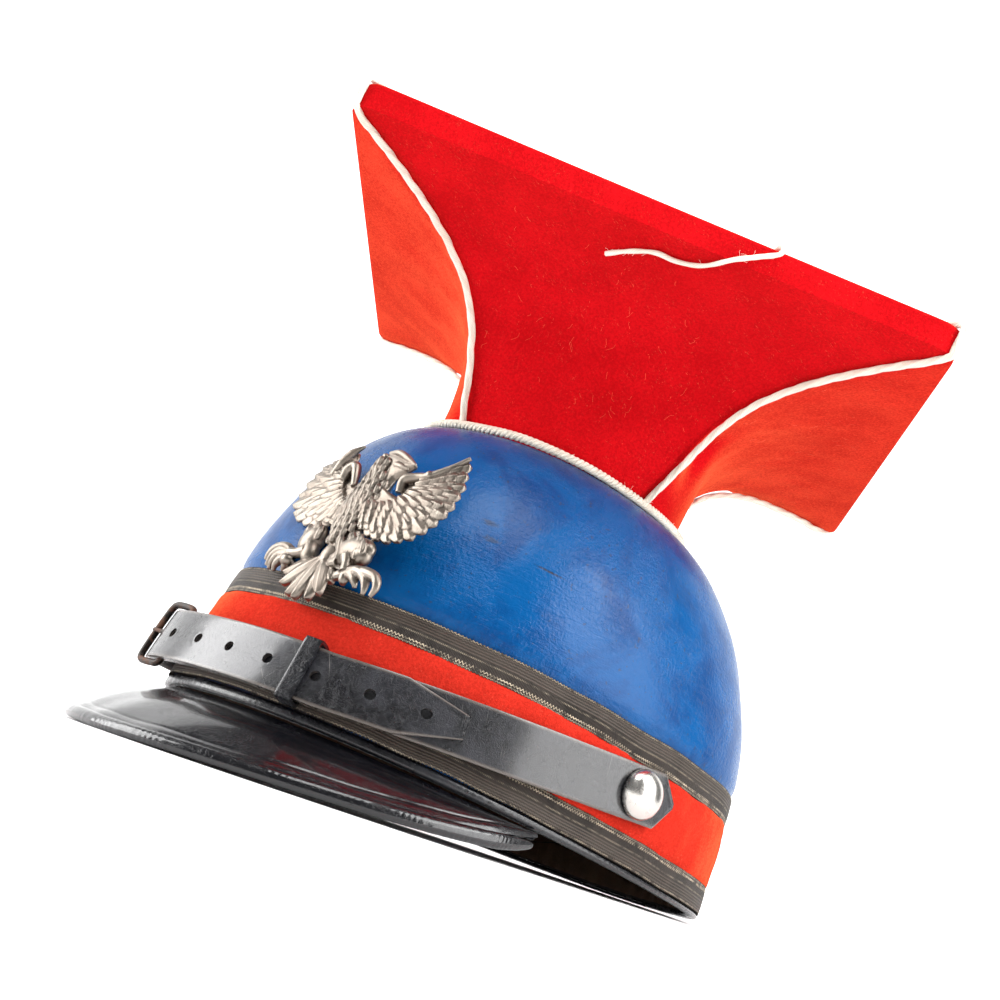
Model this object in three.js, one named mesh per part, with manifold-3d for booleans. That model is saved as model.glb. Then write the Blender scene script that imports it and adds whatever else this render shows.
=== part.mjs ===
// A lancer's czapka, in millimetres, +Z up, standing by itself on a flat surface.
// The helmet is drawn upright first, with its lower edge at height 0, the peak towards -Y and the wearer's
// left towards +X. A group then pitches it back until the peak's front edge and the rear of the rim both
// touch the surface, because the peak hangs lower than the rim.

import * as THREE from "three";
import { mergeVertices } from "three/addons/utils/BufferGeometryUtils.js";
import Module from "manifold-3d";

const wasm = await Module();
wasm.setup();

// ---------------------------------------------------------------- driving dimensions, mm and degrees

const GAP = 0.3; // clearance between touching pieces

// Level sections of the wall, outside the braids. A section is a superellipse, narrowed towards the front.
const SECTION_POWER = 2.21;
const RIM = { height: 0, halfWidth: 86.9, halfLength: 108, centreY: 0, narrowing: 0.05 };
const BRAID_TOP = { height: 42.6, halfWidth: 85.8, halfLength: 100.3, centreY: 0.1, narrowing: 0.07 };
const WAIST = { height: 119.6, halfWidth: 43.5, halfLength: 49, centreY: -6.7, narrowing: 0 };
const DOME = { fullness: 1.5, roundness: 0.55 }; // how long the wall stays wide, how round its shoulder is
const REAR_LIFT = { height: 2.5, from: 110, to: 170 }; // the lower edge rises a little at the rear

const SKULL = { thickness: 2.5, underBraid: 1.7, shoulder: 0.8 };
const BRAID = { width: 9.5, thickness: 1.4, lowest: GAP };
const BAND = { padding: 1.1, shoulder: 0.8 }; // shoulder: how full the padding still is near its edges
const BINDING = { frontDepth: 3.8, rearDepth: 1.6, inner: 4.3, outer: 0.4, bevel: 1.2 };
const SWEATBAND = { thickness: 1.2, height: 30, lowest: 0.6 };
const GUSSET = { halfAngle: 35, plainEnd: 5, columns: 6, height: 20, thickness: 1 };

// The crown: four cloth sides between ridges that point forward, left, back and right.
const CROWN = {
  foot: WAIST.height + 0.7,
  corner: 185.3, // height at which the ridges reach the corners of the flat top
  cornerReach: 152, // from the axis to a sharp corner
  edge: 10.1, // height of the upright edge of the top
  pitch: 1.7, // the front corner is higher
  centreShift: 2.3, // the top's centre lies this far behind the waist's centre
  cloth: 2,
  waistReach: 49.5,
  waistNarrowing: 4.5, // the waist is this much narrower across than along
  flareStart: 31,
  flarePower: 5.5,
  squaring: 2.5, // how soon the round waist turns square
  cornerRadius: 8,
  ridgeRadius: 2,
  board: 3,
};
const DENT = { angle: 104, climb: 0.42, depth: 5, halfWidth: 11, halfHeight: 0.16 };

const PIPING = { radius: 1.15, sides: 6, clearance: 0.75, centreGap: 8 };
const ROPE = { radius: 1.5, sides: 6, outset: 3.7, rise: 1.2 };
const LOOSE_CORD = { radius: 1.05, sides: 8, steps: 32, clearance: 1.2 };

const PEAK = {
  reach: 34, // how far it stands out in front, along its slope
  endAngle: 75, // where it ends, at either side
  roundness: 1.6,
  slope: 36,
  thickness: 2.4,
  camber: 1.8,
  bead: 5, // width of the rolled edge
  beadHeight: 4,
  tuckedUnder: 2.4, // how far its root reaches in under the binding
  plainEnd: 4, // degrees left off at each end, where it would run out to nothing
};

const STRAP = {
  width: 18.5,
  thickness: 1.8,
  resting: 1.4, // clearance to the wall beside the buttons
  raised: 2.8, // clearance to the wall where the keeper passes under
  settling: { from: 55, to: 80 }, // between these angles it comes down from raised to resting
  stacking: { from: -60, to: -34 }, // between these angles the holed strap rises over the other one
  frontHeight: 11,
  riseFrom: 25,
  rise: 0.118,
  risePower: 1.1,
  buckleAngle: -23,
  buckleLift: 3.4,
  buckleSpread: 12,
  endAngle: 102.5,
  endTaper: { length: 4.5, narrowest: 0.12 }, // pointed behind the buttons, in degrees
  tipAngle: 49.9,
  tipTaper: { length: 11.5, narrowest: 0.42 },
  holeSpacing: 9.6, // degrees round the helmet
  firstHole: 7, // from the tip
  holeDiameter: 3.5,
  holes: 7,
};
const KEEPER = { angle: 20.5, width: 6, thickness: 1.2, clearance: 0.7, hides: 3 }; // holes this near
const BUCKLE = { wire: 1.2, nearAngle: -17, farAngle: -25, clearance: 0.6, prong: 0.9 };
const BUTTON = { angle: 91.5, radius: 8.4, height: 6, rim: 1, post: 2 };

// The eagle is a nearly flat casting that leans back on the skull, a little to the wearer's left.
const EAGLE = {
  acrossAt: 22,
  heightAt: 60,
  standoff: 1.8, // from the foremost line of the skull
  lean: 0.19,
  plate: 2.2,
  wingFold: { at: 14, left: 9, right: 3 }, // the wings are swept back from here, in degrees
  postRadius: 1.5,
  postHeights: [60, 72],
};

const SECTORS = 36;
const SAME_PLACE = 1e-4; // points nearer than this are one point

// ---------------------------------------------------------------- materials

const finish = (color, roughness, metalness = 0) =>
  new THREE.MeshStandardMaterial({ color, roughness, metalness });
const bluePaint = () => finish(0x1f5fae, 0.3);
const redCloth = () => finish(0xb3120f, 0.95);
const whiteCord = () => finish(0xe9e2d2, 0.9);
const tarnishedLace = () => finish(0x5b5248, 0.45, 0.7);
const blackLeather = () => finish(0x17171a, 0.4);
const patentLeather = () => finish(0x08080a, 0.12);
const brownLeather = () => finish(0x3a2418, 0.8);
const whiteMetal = () => finish(0xc9c4ba, 0.3, 1);
const darkIron = () => finish(0x3b332d, 0.5, 0.8);

// ---------------------------------------------------------------- closed solids from curves and grids

const radians = THREE.MathUtils.degToRad;
const lerp = THREE.MathUtils.lerp;
const smooth = THREE.MathUtils.smoothstep;

function signedVolume(position, index) {
  const corner = [new THREE.Vector3(), new THREE.Vector3(), new THREE.Vector3()];
  let volume = 0;
  for (let i = 0; i < index.length; i += 3) {
    corner.forEach((point, k) => point.fromBufferAttribute(position, index[i + k]));
    volume += corner[0].dot(corner[1].cross(corner[2])) / 6;
  }
  return volume;
}

// One closed body from loose points and triangles: equal points are joined, empty triangles are dropped,
// and the faces are turned to point out.
function closedBody(points, triangles) {
  let geometry = new THREE.BufferGeometry().setFromPoints(points);
  geometry.setIndex(triangles);
  geometry = mergeVertices(geometry, SAME_PLACE);
  const index = [];
  const source = geometry.index.array;
  for (let i = 0; i < source.length; i += 3) {
    const [a, b, c] = source.slice(i, i + 3);
    if (a !== b && b !== c && c !== a) index.push(a, b, c);
  }
  if (signedVolume(geometry.attributes.position, index) < 0) index.reverse();
  geometry.setIndex(index);
  return geometry;
}

// A wall between an outer and an inner surface. Each is a function of u (across) and v (up), from 0 to 1.
// A wrapped wall runs all the way round, so only its two ends in v are closed by a border.
function wallBody(outer, inner, columns, rows, wrapped = false) {
  const points = [];
  const triangles = [];
  const across = wrapped ? columns : columns + 1;
  for (const surface of [outer, inner]) {
    for (let j = 0; j <= rows; j++) {
      for (let i = 0; i < across; i++) points.push(surface(i / columns, j / rows));
    }
  }
  const sheet = across * (rows + 1);
  const at = (side, i, j) => side * sheet + j * across + (i % across);
  const quad = (a, b, c, d) => triangles.push(a, b, c, a, c, d);
  for (let i = 0; i < columns; i++) {
    for (let j = 0; j < rows; j++) {
      quad(at(0, i, j), at(0, i + 1, j), at(0, i + 1, j + 1), at(0, i, j + 1));
      quad(at(1, i, j), at(1, i, j + 1), at(1, i + 1, j + 1), at(1, i + 1, j));
    }
    quad(at(0, i, 0), at(1, i, 0), at(1, i + 1, 0), at(0, i + 1, 0));
    quad(at(0, i, rows), at(0, i + 1, rows), at(1, i + 1, rows), at(1, i, rows));
  }
  for (let j = 0; j < rows && !wrapped; j++) {
    quad(at(0, 0, j), at(0, 0, j + 1), at(1, 0, j + 1), at(1, 0, j));
    quad(at(0, columns, j), at(1, columns, j), at(1, columns, j + 1), at(0, columns, j + 1));
  }
  return closedBody(points, triangles);
}

// A bar from a list of level loops of points, each loop convex, closed at both ends or joined into a ring.
function barBody(loops, ring = false) {
  const points = loops.flat();
  const triangles = [];
  const sides = loops[0].length;
  const steps = ring ? loops.length : loops.length - 1;
  const at = (i, j) => (j % loops.length) * sides + (i % sides);
  for (let j = 0; j < steps; j++) {
    for (let i = 0; i < sides; i++) {
      triangles.push(at(i, j), at(i + 1, j), at(i + 1, j + 1), at(i, j), at(i + 1, j + 1), at(i, j + 1));
    }
  }
  for (let i = 1; i < sides - 1 && !ring; i++) {
    triangles.push(at(0, 0), at(i + 1, 0), at(i, 0));
    triangles.push(at(0, steps), at(i, steps), at(i + 1, steps));
  }
  return closedBody(points, triangles);
}

// A round cord along a curve.
function cordBody(curve, radius, sides, steps) {
  const section = new THREE.Shape();
  for (let i = 0; i < sides; i++) {
    const turn = (2 * Math.PI * i) / sides;
    const go = i ? "lineTo" : "moveTo";
    section[go](radius * Math.cos(turn), radius * Math.sin(turn));
  }
  const options = { steps, bevelEnabled: false, extrudePath: curve };
  return bare(new THREE.ExtrudeGeometry(section, options));
}

function bare(geometry) {
  const plain = geometry.index ? geometry.toNonIndexed() : geometry;
  const points = [];
  for (let i = 0; i < plain.attributes.position.count; i++) {
    points.push(new THREE.Vector3().fromBufferAttribute(plain.attributes.position, i));
  }
  return closedBody(points, points.map((point, i) => i));
}

function toManifold(geometry) {
  return new wasm.Manifold(
    new wasm.Mesh({
      numProp: 3,
      vertProperties: new Float32Array(geometry.attributes.position.array),
      triVerts: new Uint32Array(geometry.index.array),
    }),
  );
}

function fromManifold(solid) {
  const mesh = solid.getMesh();
  const points = [];
  for (let i = 0; i < mesh.vertProperties.length; i += mesh.numProp) {
    points.push(new THREE.Vector3(...mesh.vertProperties.slice(i, i + 3)));
  }
  return closedBody(points, Array.from(mesh.triVerts));
}

const joined = (geometries) =>
  fromManifold(geometries.map(toManifold).reduce((sum, solid) => sum.add(solid)));

const cut = (geometry, tools) =>
  fromManifold(tools.map(toManifold).reduce((rest, tool) => rest.subtract(tool), toManifold(geometry)));

const named = (name, geometry, material) => {
  const mesh = new THREE.Mesh(geometry, material);
  mesh.name = name;
  return mesh;
};

// ---------------------------------------------------------------- the wall of the helmet

function sectionAt(height) {
  const blend = (low, high, part) => ({
    halfWidth: lerp(low.halfWidth, high.halfWidth, part),
    halfLength: lerp(low.halfLength, high.halfLength, part),
    centreY: lerp(low.centreY, high.centreY, part),
    narrowing: lerp(low.narrowing, high.narrowing, part),
  });
  if (height <= BRAID_TOP.height) return blend(RIM, BRAID_TOP, height / BRAID_TOP.height);
  const climb = Math.min(1, (height - BRAID_TOP.height) / (WAIST.height - BRAID_TOP.height));
  return blend(WAIST, BRAID_TOP, (1 - climb ** DOME.fullness) ** DOME.roundness);
}

// A point of the wall. The angle is 0 in front and grows towards the wearer's left, in degrees.
function wallPoint(angle, height, offset = 0) {
  const section = sectionAt(height);
  const turn = radians(angle);
  const halfWidth = section.halfWidth + offset;
  const halfLength = section.halfLength + offset;
  const widthTerm = Math.abs(Math.sin(turn) / halfWidth) ** SECTION_POWER;
  const lengthTerm = Math.abs(Math.cos(turn) / halfLength) ** SECTION_POWER;
  const radius = (widthTerm + lengthTerm) ** (-1 / SECTION_POWER);
  const y = -radius * Math.cos(turn);
  const x = radius * Math.sin(turn) * (1 + (section.narrowing * y) / halfLength);
  const fromFront = Math.abs(((((angle + 180) % 360) + 360) % 360) - 180);
  const lifted = smooth(fromFront, REAR_LIFT.from, REAR_LIFT.to) * REAR_LIFT.height;
  const fade = Math.max(0, 1 - height / BRAID_TOP.height);
  return new THREE.Vector3(x, y + section.centreY, height + lifted * fade);
}

// A ring round the wall whose section is a closed loop of [offset, height], given for each angle.
function wallRing(sectionLoop) {
  const loops = [];
  for (let i = 0; i < SECTORS; i++) {
    const angle = (360 * i) / SECTORS;
    loops.push(sectionLoop(angle).map(([offset, height]) => wallPoint(angle, height, offset)));
  }
  return barBody(loops, true);
}

function skull() {
  const domeRows = 7;
  const braidTop = BRAID_TOP.height + GAP;
  const outer = [
    [-SKULL.underBraid, GAP],
    [-SKULL.underBraid, braidTop / 2],
    [-SKULL.underBraid, braidTop],
    [-SKULL.shoulder, braidTop + GAP],
  ];
  for (let i = 1; i <= domeRows; i++) {
    const climb = Math.sin((Math.PI / 2) * (i / domeRows));
    outer.push([0, lerp(BRAID_TOP.height + GAP, WAIST.height, climb)]);
  }
  const inner = outer.map(([offset, height], row) => {
    const sink = smooth(row, outer.length - domeRows, outer.length - 1) * SKULL.thickness;
    return [Math.min(offset, -SKULL.shoulder) - SKULL.thickness, height, sink];
  });
  const rows = outer.length; // one more row closes each surface at the axis
  const surface = (profile) => (u, v) => {
    const row = Math.round(v * rows);
    const [offset, height, sink = 0] = profile[Math.min(row, rows - 1)];
    const point = wallPoint(360 * u, height, offset);
    point.z -= sink;
    return row < rows ? point : new THREE.Vector3(0, WAIST.centreY, point.z);
  };
  return wallBody(surface(outer), surface(inner), SECTORS, rows, true);
}

function braid(lowest) {
  const highest = lowest + BRAID.width;
  return wallRing(() => [
    [0, lowest],
    [0, highest],
    [-BRAID.thickness, highest],
    [-BRAID.thickness, lowest],
  ]);
}

const UPPER_BRAID_LOWEST = BRAID_TOP.height - BRAID.width;

function bandCloth() {
  const lowest = BRAID.lowest + BRAID.width + GAP;
  const highest = UPPER_BRAID_LOWEST - GAP;
  const middle = (lowest + highest) / 2;
  const quarter = (highest - lowest) / 4;
  const shoulder = BAND.shoulder * BAND.padding;
  return wallRing(() => [
    [0, lowest],
    [shoulder, middle - quarter],
    [BAND.padding, middle],
    [shoulder, middle + quarter],
    [0, highest],
    [-BRAID.thickness, highest],
    [-BRAID.thickness, lowest],
  ]);
}

// Depth of the binding below height 0: deep over the peak, shallow at the rear.
const bindingDepth = (angle) =>
  lerp(BINDING.rearDepth, BINDING.frontDepth, (1 + Math.cos(radians(angle))) / 2);

function rimBinding() {
  return wallRing((angle) => {
    const depth = bindingDepth(angle);
    const { inner, outer, bevel } = BINDING;
    return [
      [-outer, 0],
      [-outer, -depth / 2],
      [-outer - bevel, -depth],
      [-inner + bevel, -depth],
      [-inner, -depth / 2],
      [-inner, 0],
    ];
  });
}

const LINING_OFFSET = -(SKULL.underBraid + SKULL.thickness + GAP);

// Height of the rear gusset's upper edge, which is also where the sweatband's lower edge rises to.
const gussetTop = (angle) => GUSSET.height * (1 - Math.abs(angle - 180) / GUSSET.halfAngle);

function sweatband() {
  return wallRing((angle) => {
    const lowest = SWEATBAND.lowest + Math.max(0, gussetTop(angle) + GAP);
    return [
      [LINING_OFFSET, lowest],
      [LINING_OFFSET, SWEATBAND.height],
      [LINING_OFFSET - SWEATBAND.thickness, SWEATBAND.height],
      [LINING_OFFSET - SWEATBAND.thickness, lowest],
    ];
  });
}

function rearGusset() {
  const surface = (offset) => (u, v) => {
    const angle = 180 + (GUSSET.halfAngle - GUSSET.plainEnd) * (2 * u - 1);
    const height = lerp(SWEATBAND.lowest, SWEATBAND.lowest + gussetTop(angle) - GAP, v);
    return wallPoint(angle, height, offset);
  };
  return wallBody(surface(LINING_OFFSET), surface(LINING_OFFSET - GUSSET.thickness), GUSSET.columns, 2);
}

// ---------------------------------------------------------------- the crown

// The polar reach of a square with rounded corners, as a part of its sharp corner's reach.
// The angle is measured from the nearest corner.
function squareReach(fromCorner, cornerRadius) {
  const turn = radians(Math.abs(fromCorner));
  const centre = 1 - cornerRadius * Math.SQRT2;
  const tangent = cornerRadius / Math.SQRT2;
  if (Math.tan(turn) > tangent / (centre + tangent)) return 1 / (Math.cos(turn) + Math.sin(turn));
  return centre * Math.cos(turn) + Math.sqrt(cornerRadius ** 2 - (centre * Math.sin(turn)) ** 2);
}

const TOP_BANDS = 2; // rows of the upright edge, above the flare

// A point of the crown: `climb` runs from 0 at the waist to 1 at the corners, then to 2 over the edge.
function crownProfile(angle, climb) {
  const flare = Math.min(climb, 1);
  const growth = CROWN.cornerReach - CROWN.waistReach - CROWN.flareStart;
  const narrower = CROWN.waistNarrowing * Math.sin(radians(angle)) ** 2 * (1 - flare) ** 3;
  const spread = CROWN.flareStart * flare + growth * flare ** CROWN.flarePower;
  const reach = CROWN.waistReach + spread - narrower;
  const fromCorner = ((((angle + 45) % 90) + 90) % 90) - 45;
  const roundness = (1 - flare) ** CROWN.squaring;
  const cornerRadius = lerp(CROWN.ridgeRadius, CROWN.cornerRadius, flare ** 4) / reach;
  const square = squareReach(fromCorner, cornerRadius);
  const edgeHeight = Math.max(0, climb - 1) * CROWN.edge;
  return {
    reach: reach * lerp(square, 1, roundness),
    height: lerp(CROWN.foot, CROWN.corner, flare) + edgeHeight,
    flare,
  };
}

// Places a reach and height of the crown in the helmet, with the top's shift and pitch.
function crownPlace(angle, reach, height, flare) {
  const turn = radians(angle);
  const pitch = radians(CROWN.pitch) * flare;
  const along = -reach * Math.cos(turn);
  const lift = height - lerp(CROWN.foot, CROWN.corner, flare);
  const y = along * Math.cos(pitch) + lift * Math.sin(pitch);
  const z = -along * Math.sin(pitch) + lift * Math.cos(pitch);
  const centreY = WAIST.centreY + CROWN.centreShift * flare;
  return new THREE.Vector3(reach * Math.sin(turn), y + centreY, z + height - lift);
}

function dentDepth(angle, climb) {
  const across = (angle - DENT.angle) / DENT.halfWidth;
  const up = (climb - DENT.climb) / DENT.halfHeight;
  return DENT.depth * Math.exp(-across * across - up * up);
}

// The crown's surface, moved along the profile's own normal by `offset`.
function crownPoint(angle, climb, offset = 0) {
  const step = 0.01;
  const low = crownProfile(angle, Math.max(0, climb - step));
  const high = crownProfile(angle, Math.min(2, climb + step));
  const here = crownProfile(angle, climb);
  const run = high.reach - low.reach;
  const rise = high.height - low.height;
  const length = Math.hypot(run, rise);
  const moved = offset - dentDepth(angle, climb);
  const reach = here.reach + (moved * rise) / length;
  const height = here.height - (moved * run) / length;
  return crownPlace(angle, reach, height, here.flare);
}

const CROWN_ROWS = [0, 0.12, 0.25, 0.38, 0.5, 0.62, 0.72, 0.81, 0.88, 0.94, 0.98, 1, 1.5, 2];

function crownSide(ridgeAngle) {
  const columns = 8;
  const rows = CROWN_ROWS.length - 1;
  const surface = (offset) => (u, v) => {
    const climb = CROWN_ROWS[Math.round(v * rows)];
    const ridgeGap = (GAP / 2 / crownProfile(ridgeAngle, climb).reach) * (180 / Math.PI);
    const angle = lerp(ridgeAngle + ridgeGap, ridgeAngle + 90 - ridgeGap, u);
    return crownPoint(angle, climb, offset);
  };
  return wallBody(surface(0), surface(-CROWN.cloth), columns, rows);
}

const TOP_HEIGHT = CROWN.corner + CROWN.edge;

function crownTop() {
  const inset = CROWN.cloth + GAP;
  const surface = (height) => (u, v) => {
    const angle = 360 * u;
    const reach = (crownProfile(angle, 2).reach - inset * Math.SQRT2) * (1 - v);
    return crownPlace(angle, reach, height, 1);
  };
  return wallBody(surface(TOP_HEIGHT), surface(TOP_HEIGHT - CROWN.board), SECTORS, 1, true);
}

// A round bar through a list of points that all lie in one upright plane, square to `sideways`.
function bentBar(route, sideways, radius, sides) {
  const loops = route.map((point, i) => {
    const before = route[Math.max(0, i - 1)];
    const after = route[Math.min(route.length - 1, i + 1)];
    const along = after.clone().sub(before).normalize();
    const square = along.clone().cross(sideways).normalize();
    return Array.from({ length: sides }, (unused, k) => {
      const turn = (2 * Math.PI * k) / sides;
      return point
        .clone()
        .addScaledVector(sideways, radius * Math.cos(turn))
        .addScaledVector(square, radius * Math.sin(turn));
    });
  });
  return barBody(loops);
}

// The way over the top's edge at an angle, clear of it by `clear`: beside, over the edge and above.
function overEdge(angle, clear) {
  const edge = crownProfile(angle, 2).reach;
  const place = (out, up) => crownPlace(angle, edge + out, TOP_HEIGHT + up, 1);
  const diagonal = clear * Math.SQRT1_2;
  const beside = [place(clear, -clear), place(clear, 0)];
  const above = [place(0, clear), place(-clear, clear)];
  return [...beside, place(diagonal, diagonal), ...above];
}

// Piping: up a ridge, over the corner and inwards across the top.
function piping(ridgeAngle) {
  const clear = PIPING.radius + PIPING.clearance;
  const route = [];
  for (const climb of CROWN_ROWS.filter((row) => row > 0 && row < 2)) {
    const point = crownPoint(ridgeAngle, climb, 0);
    const out = crownPoint(ridgeAngle, climb, 1).sub(point).normalize();
    route.push(point.addScaledVector(out, clear + dentDepth(ridgeAngle, climb)));
  }
  route.push(...overEdge(ridgeAngle, clear), crownPlace(ridgeAngle, PIPING.centreGap, TOP_HEIGHT + clear, 1));
  const sideways = new THREE.Vector3(Math.cos(radians(ridgeAngle)), Math.sin(radians(ridgeAngle)), 0);
  return bentBar(route, sideways, PIPING.radius, PIPING.sides);
}

function waistCord() {
  const loops = [];
  for (let i = 0; i < SECTORS; i++) {
    const angle = (360 * i) / SECTORS;
    const foot = wallPoint(angle, WAIST.height, 0);
    const out = new THREE.Vector3(Math.sin(radians(angle)), -Math.cos(radians(angle)), 0);
    const centre = foot.addScaledVector(out, ROPE.outset);
    centre.z += ROPE.rise;
    const loop = [];
    for (let k = 0; k < ROPE.sides; k++) {
      const turn = (2 * Math.PI * k) / ROPE.sides;
      const point = centre.clone().addScaledVector(out, ROPE.radius * Math.cos(turn));
      point.z += ROPE.radius * Math.sin(turn);
      loop.push(point);
    }
    loops.push(loop);
  }
  return barBody(loops, true);
}

// The cord that comes loose from the middle of the top, crosses its front-left edge and lies on that side.
const LOOSE_CORD_ON_TOP = [
  { angle: 50, reach: 10 },
  { angle: 58, reach: 40 },
  { angle: 68, reach: 78 },
];
const LOOSE_CORD_CROSSES_AT = 66.5;
const LOOSE_CORD_ON_SIDE = [
  { angle: 63.5, climb: 1.4 },
  { angle: 60.5, climb: 1.02 },
  { angle: 56.5, climb: 0.978 },
  { angle: 52, climb: 0.967 },
  { angle: 48, climb: 0.967 },
  { angle: 43, climb: 0.95 },
  { angle: 38, climb: 0.925 },
];

function looseCord() {
  const clear = LOOSE_CORD.radius + LOOSE_CORD.clearance;
  const onTop = ({ angle, reach }) => crownPlace(angle, reach, TOP_HEIGHT + clear, 1);
  const onSide = ({ angle, climb }) => crownPoint(angle, climb, clear);
  const route = [
    ...LOOSE_CORD_ON_TOP.map(onTop),
    ...overEdge(LOOSE_CORD_CROSSES_AT, clear).reverse(),
    ...LOOSE_CORD_ON_SIDE.map(onSide),
  ];
  const curve = new THREE.CatmullRomCurve3(route, false, "centripetal");
  return cordBody(curve, LOOSE_CORD.radius, LOOSE_CORD.sides, LOOSE_CORD.steps);
}

// ---------------------------------------------------------------- the peak

function peakReach(angle) {
  return PEAK.reach * (1 - (Math.abs(angle) / PEAK.endAngle) ** PEAK.roundness);
}

// A point of the peak's middle surface: `out` runs from 0 at the rim to 1 at the free edge.
function peakPoint(angle, out, offset = 0) {
  const root = wallPoint(angle, 0, -PEAK.tuckedUnder);
  const ahead = wallPoint(angle + 1, 0, -PEAK.tuckedUnder);
  const behind = wallPoint(angle - 1, 0, -PEAK.tuckedUnder);
  const outward = new THREE.Vector3(ahead.y - behind.y, behind.x - ahead.x, 0).normalize();
  const slope = radians(PEAK.slope);
  const reach = (peakReach(angle) + PEAK.tuckedUnder) * out;
  const raised = PEAK.camber * Math.sin(Math.PI * out) + offset;
  const drop = bindingDepth(angle) + GAP + PEAK.thickness / 2 / Math.cos(slope);
  const point = root.addScaledVector(outward, reach * Math.cos(slope) + raised * Math.sin(slope));
  point.z += raised * Math.cos(slope) - reach * Math.sin(slope) - drop;
  return point;
}

function peak() {
  const columns = 28;
  const rows = 4;
  const surface = (offset) => (u, v) => {
    const angle = (PEAK.endAngle - PEAK.plainEnd) * (2 * u - 1);
    const freeEdge = 1 - (PEAK.bead / 2 + GAP) / (peakReach(angle) + PEAK.tuckedUnder);
    return peakPoint(angle, freeEdge * v, offset);
  };
  return wallBody(surface(PEAK.thickness / 2), surface(-PEAK.thickness / 2), columns, rows);
}

function peakBinding() {
  const loops = [];
  const steps = 30;
  const sides = 8;
  const inside = 0.9; // a place on the peak a little inside its edge, which gives the inward direction
  for (let i = 0; i <= steps; i++) {
    const angle = (PEAK.endAngle - PEAK.plainEnd) * ((2 * i) / steps - 1);
    const centre = peakPoint(angle, 1, 0);
    const inward = peakPoint(angle, inside, 0).sub(centre).normalize();
    const up = peakPoint(angle, 1, 1).sub(centre).normalize();
    const loop = [];
    for (let k = 0; k < sides; k++) {
      const turn = (2 * Math.PI * k) / sides;
      const point = centre.clone().addScaledVector(inward, (PEAK.bead / 2) * Math.cos(turn));
      loop.push(point.addScaledVector(up, (PEAK.beadHeight / 2) * Math.sin(turn)));
    }
    loops.push(loop);
  }
  return barBody(loops);
}

// ---------------------------------------------------------------- the chin strap

const strapHeight = (angle) =>
  STRAP.frontHeight + STRAP.rise * Math.max(0, Math.abs(angle) - STRAP.riseFrom) ** STRAP.risePower;

const buckleBump = (angle) =>
  STRAP.buckleLift * Math.exp(-(((angle - STRAP.buckleAngle) / STRAP.buckleSpread) ** 2));

// Clearance between the wall and the under strap, which is low beside the buttons.
const underClearance = (angle) =>
  lerp(STRAP.raised, STRAP.resting, smooth(Math.abs(angle), STRAP.settling.from, STRAP.settling.to)) +
  buckleBump(angle);

// Clearance of the holed strap: over the left part in front, on the wall beside its own button.
function overClearance(angle) {
  const stacked = STRAP.thickness + GAP;
  return underClearance(angle) + stacked * smooth(angle, STRAP.stacking.from, STRAP.stacking.to);
}

// Frame of the strap at an angle: its middle point, and the directions across and out.
function strapFrame(angle, clearance) {
  const height = strapHeight(angle);
  const middle = wallPoint(angle, height, clearance);
  const ahead = wallPoint(angle + 0.5, strapHeight(angle + 0.5), clearance);
  const behind = wallPoint(angle - 0.5, strapHeight(angle - 0.5), clearance);
  const along = ahead.sub(behind).normalize();
  const rise = wallPoint(angle, height + 1, clearance).sub(wallPoint(angle, height - 1, clearance));
  const out = along.clone().cross(rise).normalize();
  return { middle, along, across: out.clone().cross(along).normalize(), out };
}

function strapBody(from, to, steps, clearanceAt, widthAt) {
  const loops = [];
  for (let i = 0; i <= steps; i++) {
    const angle = lerp(from, to, i / steps);
    const { middle, across, out } = strapFrame(angle, clearanceAt(angle));
    const half = widthAt(angle) / 2;
    const edge = (side, lift) =>
      middle.clone().addScaledVector(across, side * half).addScaledVector(out, lift);
    loops.push([edge(-1, 0), edge(1, 0), edge(1, STRAP.thickness), edge(-1, STRAP.thickness)]);
  }
  return barBody(loops);
}

// Width of a strap that tapers towards its end.
const taperedWidth = (toEnd, taper) =>
  STRAP.width * lerp(taper.narrowest, 1, Math.min(1, Math.max(0, toEnd) / taper.length));

// A round cutter through a strap.
function strapHole(angle, clearanceAt, diameter) {
  const { middle, out } = strapFrame(angle, clearanceAt(angle));
  const sides = 8;
  const depth = 4 * STRAP.thickness;
  const hole = new THREE.CylinderGeometry(diameter / 2, diameter / 2, depth, sides);
  hole.applyQuaternion(new THREE.Quaternion().setFromUnitVectors(UP, out));
  hole.translate(middle.x, middle.y, middle.z);
  return bare(hole);
}

const UP = new THREE.Vector3(0, 1, 0); // the axis of three.js cylinders and lathes
const POST_HOLE = 2 * (BUTTON.post + GAP);

function strapLeft() {
  const steps = 36;
  const width = (angle) => taperedWidth(STRAP.endAngle - angle, STRAP.endTaper);
  const barGap = 0.9; // degrees, from the middle of the buckle's near bar
  const body = strapBody(BUCKLE.nearAngle + barGap, STRAP.endAngle, steps, underClearance, width);
  return cut(body, [strapHole(BUTTON.angle, underClearance, POST_HOLE)]);
}

function strapRight() {
  const steps = 44;
  const width = (angle) =>
    Math.min(
      taperedWidth(STRAP.tipAngle - angle, STRAP.tipTaper),
      taperedWidth(angle + STRAP.endAngle, STRAP.endTaper),
    );
  const body = strapBody(-STRAP.endAngle, STRAP.tipAngle, steps, overClearance, width);
  const cutters = [strapHole(-BUTTON.angle, overClearance, POST_HOLE), bucklePin(BUCKLE.prong + GAP)];
  for (let i = 0; i < STRAP.holes; i++) {
    const angle = STRAP.tipAngle - STRAP.firstHole - i * STRAP.holeSpacing;
    const hidden = Math.abs(angle - KEEPER.angle) < KEEPER.hides;
    if (!hidden) cutters.push(strapHole(angle, overClearance, STRAP.holeDiameter));
  }
  return cut(body, cutters);
}

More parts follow.
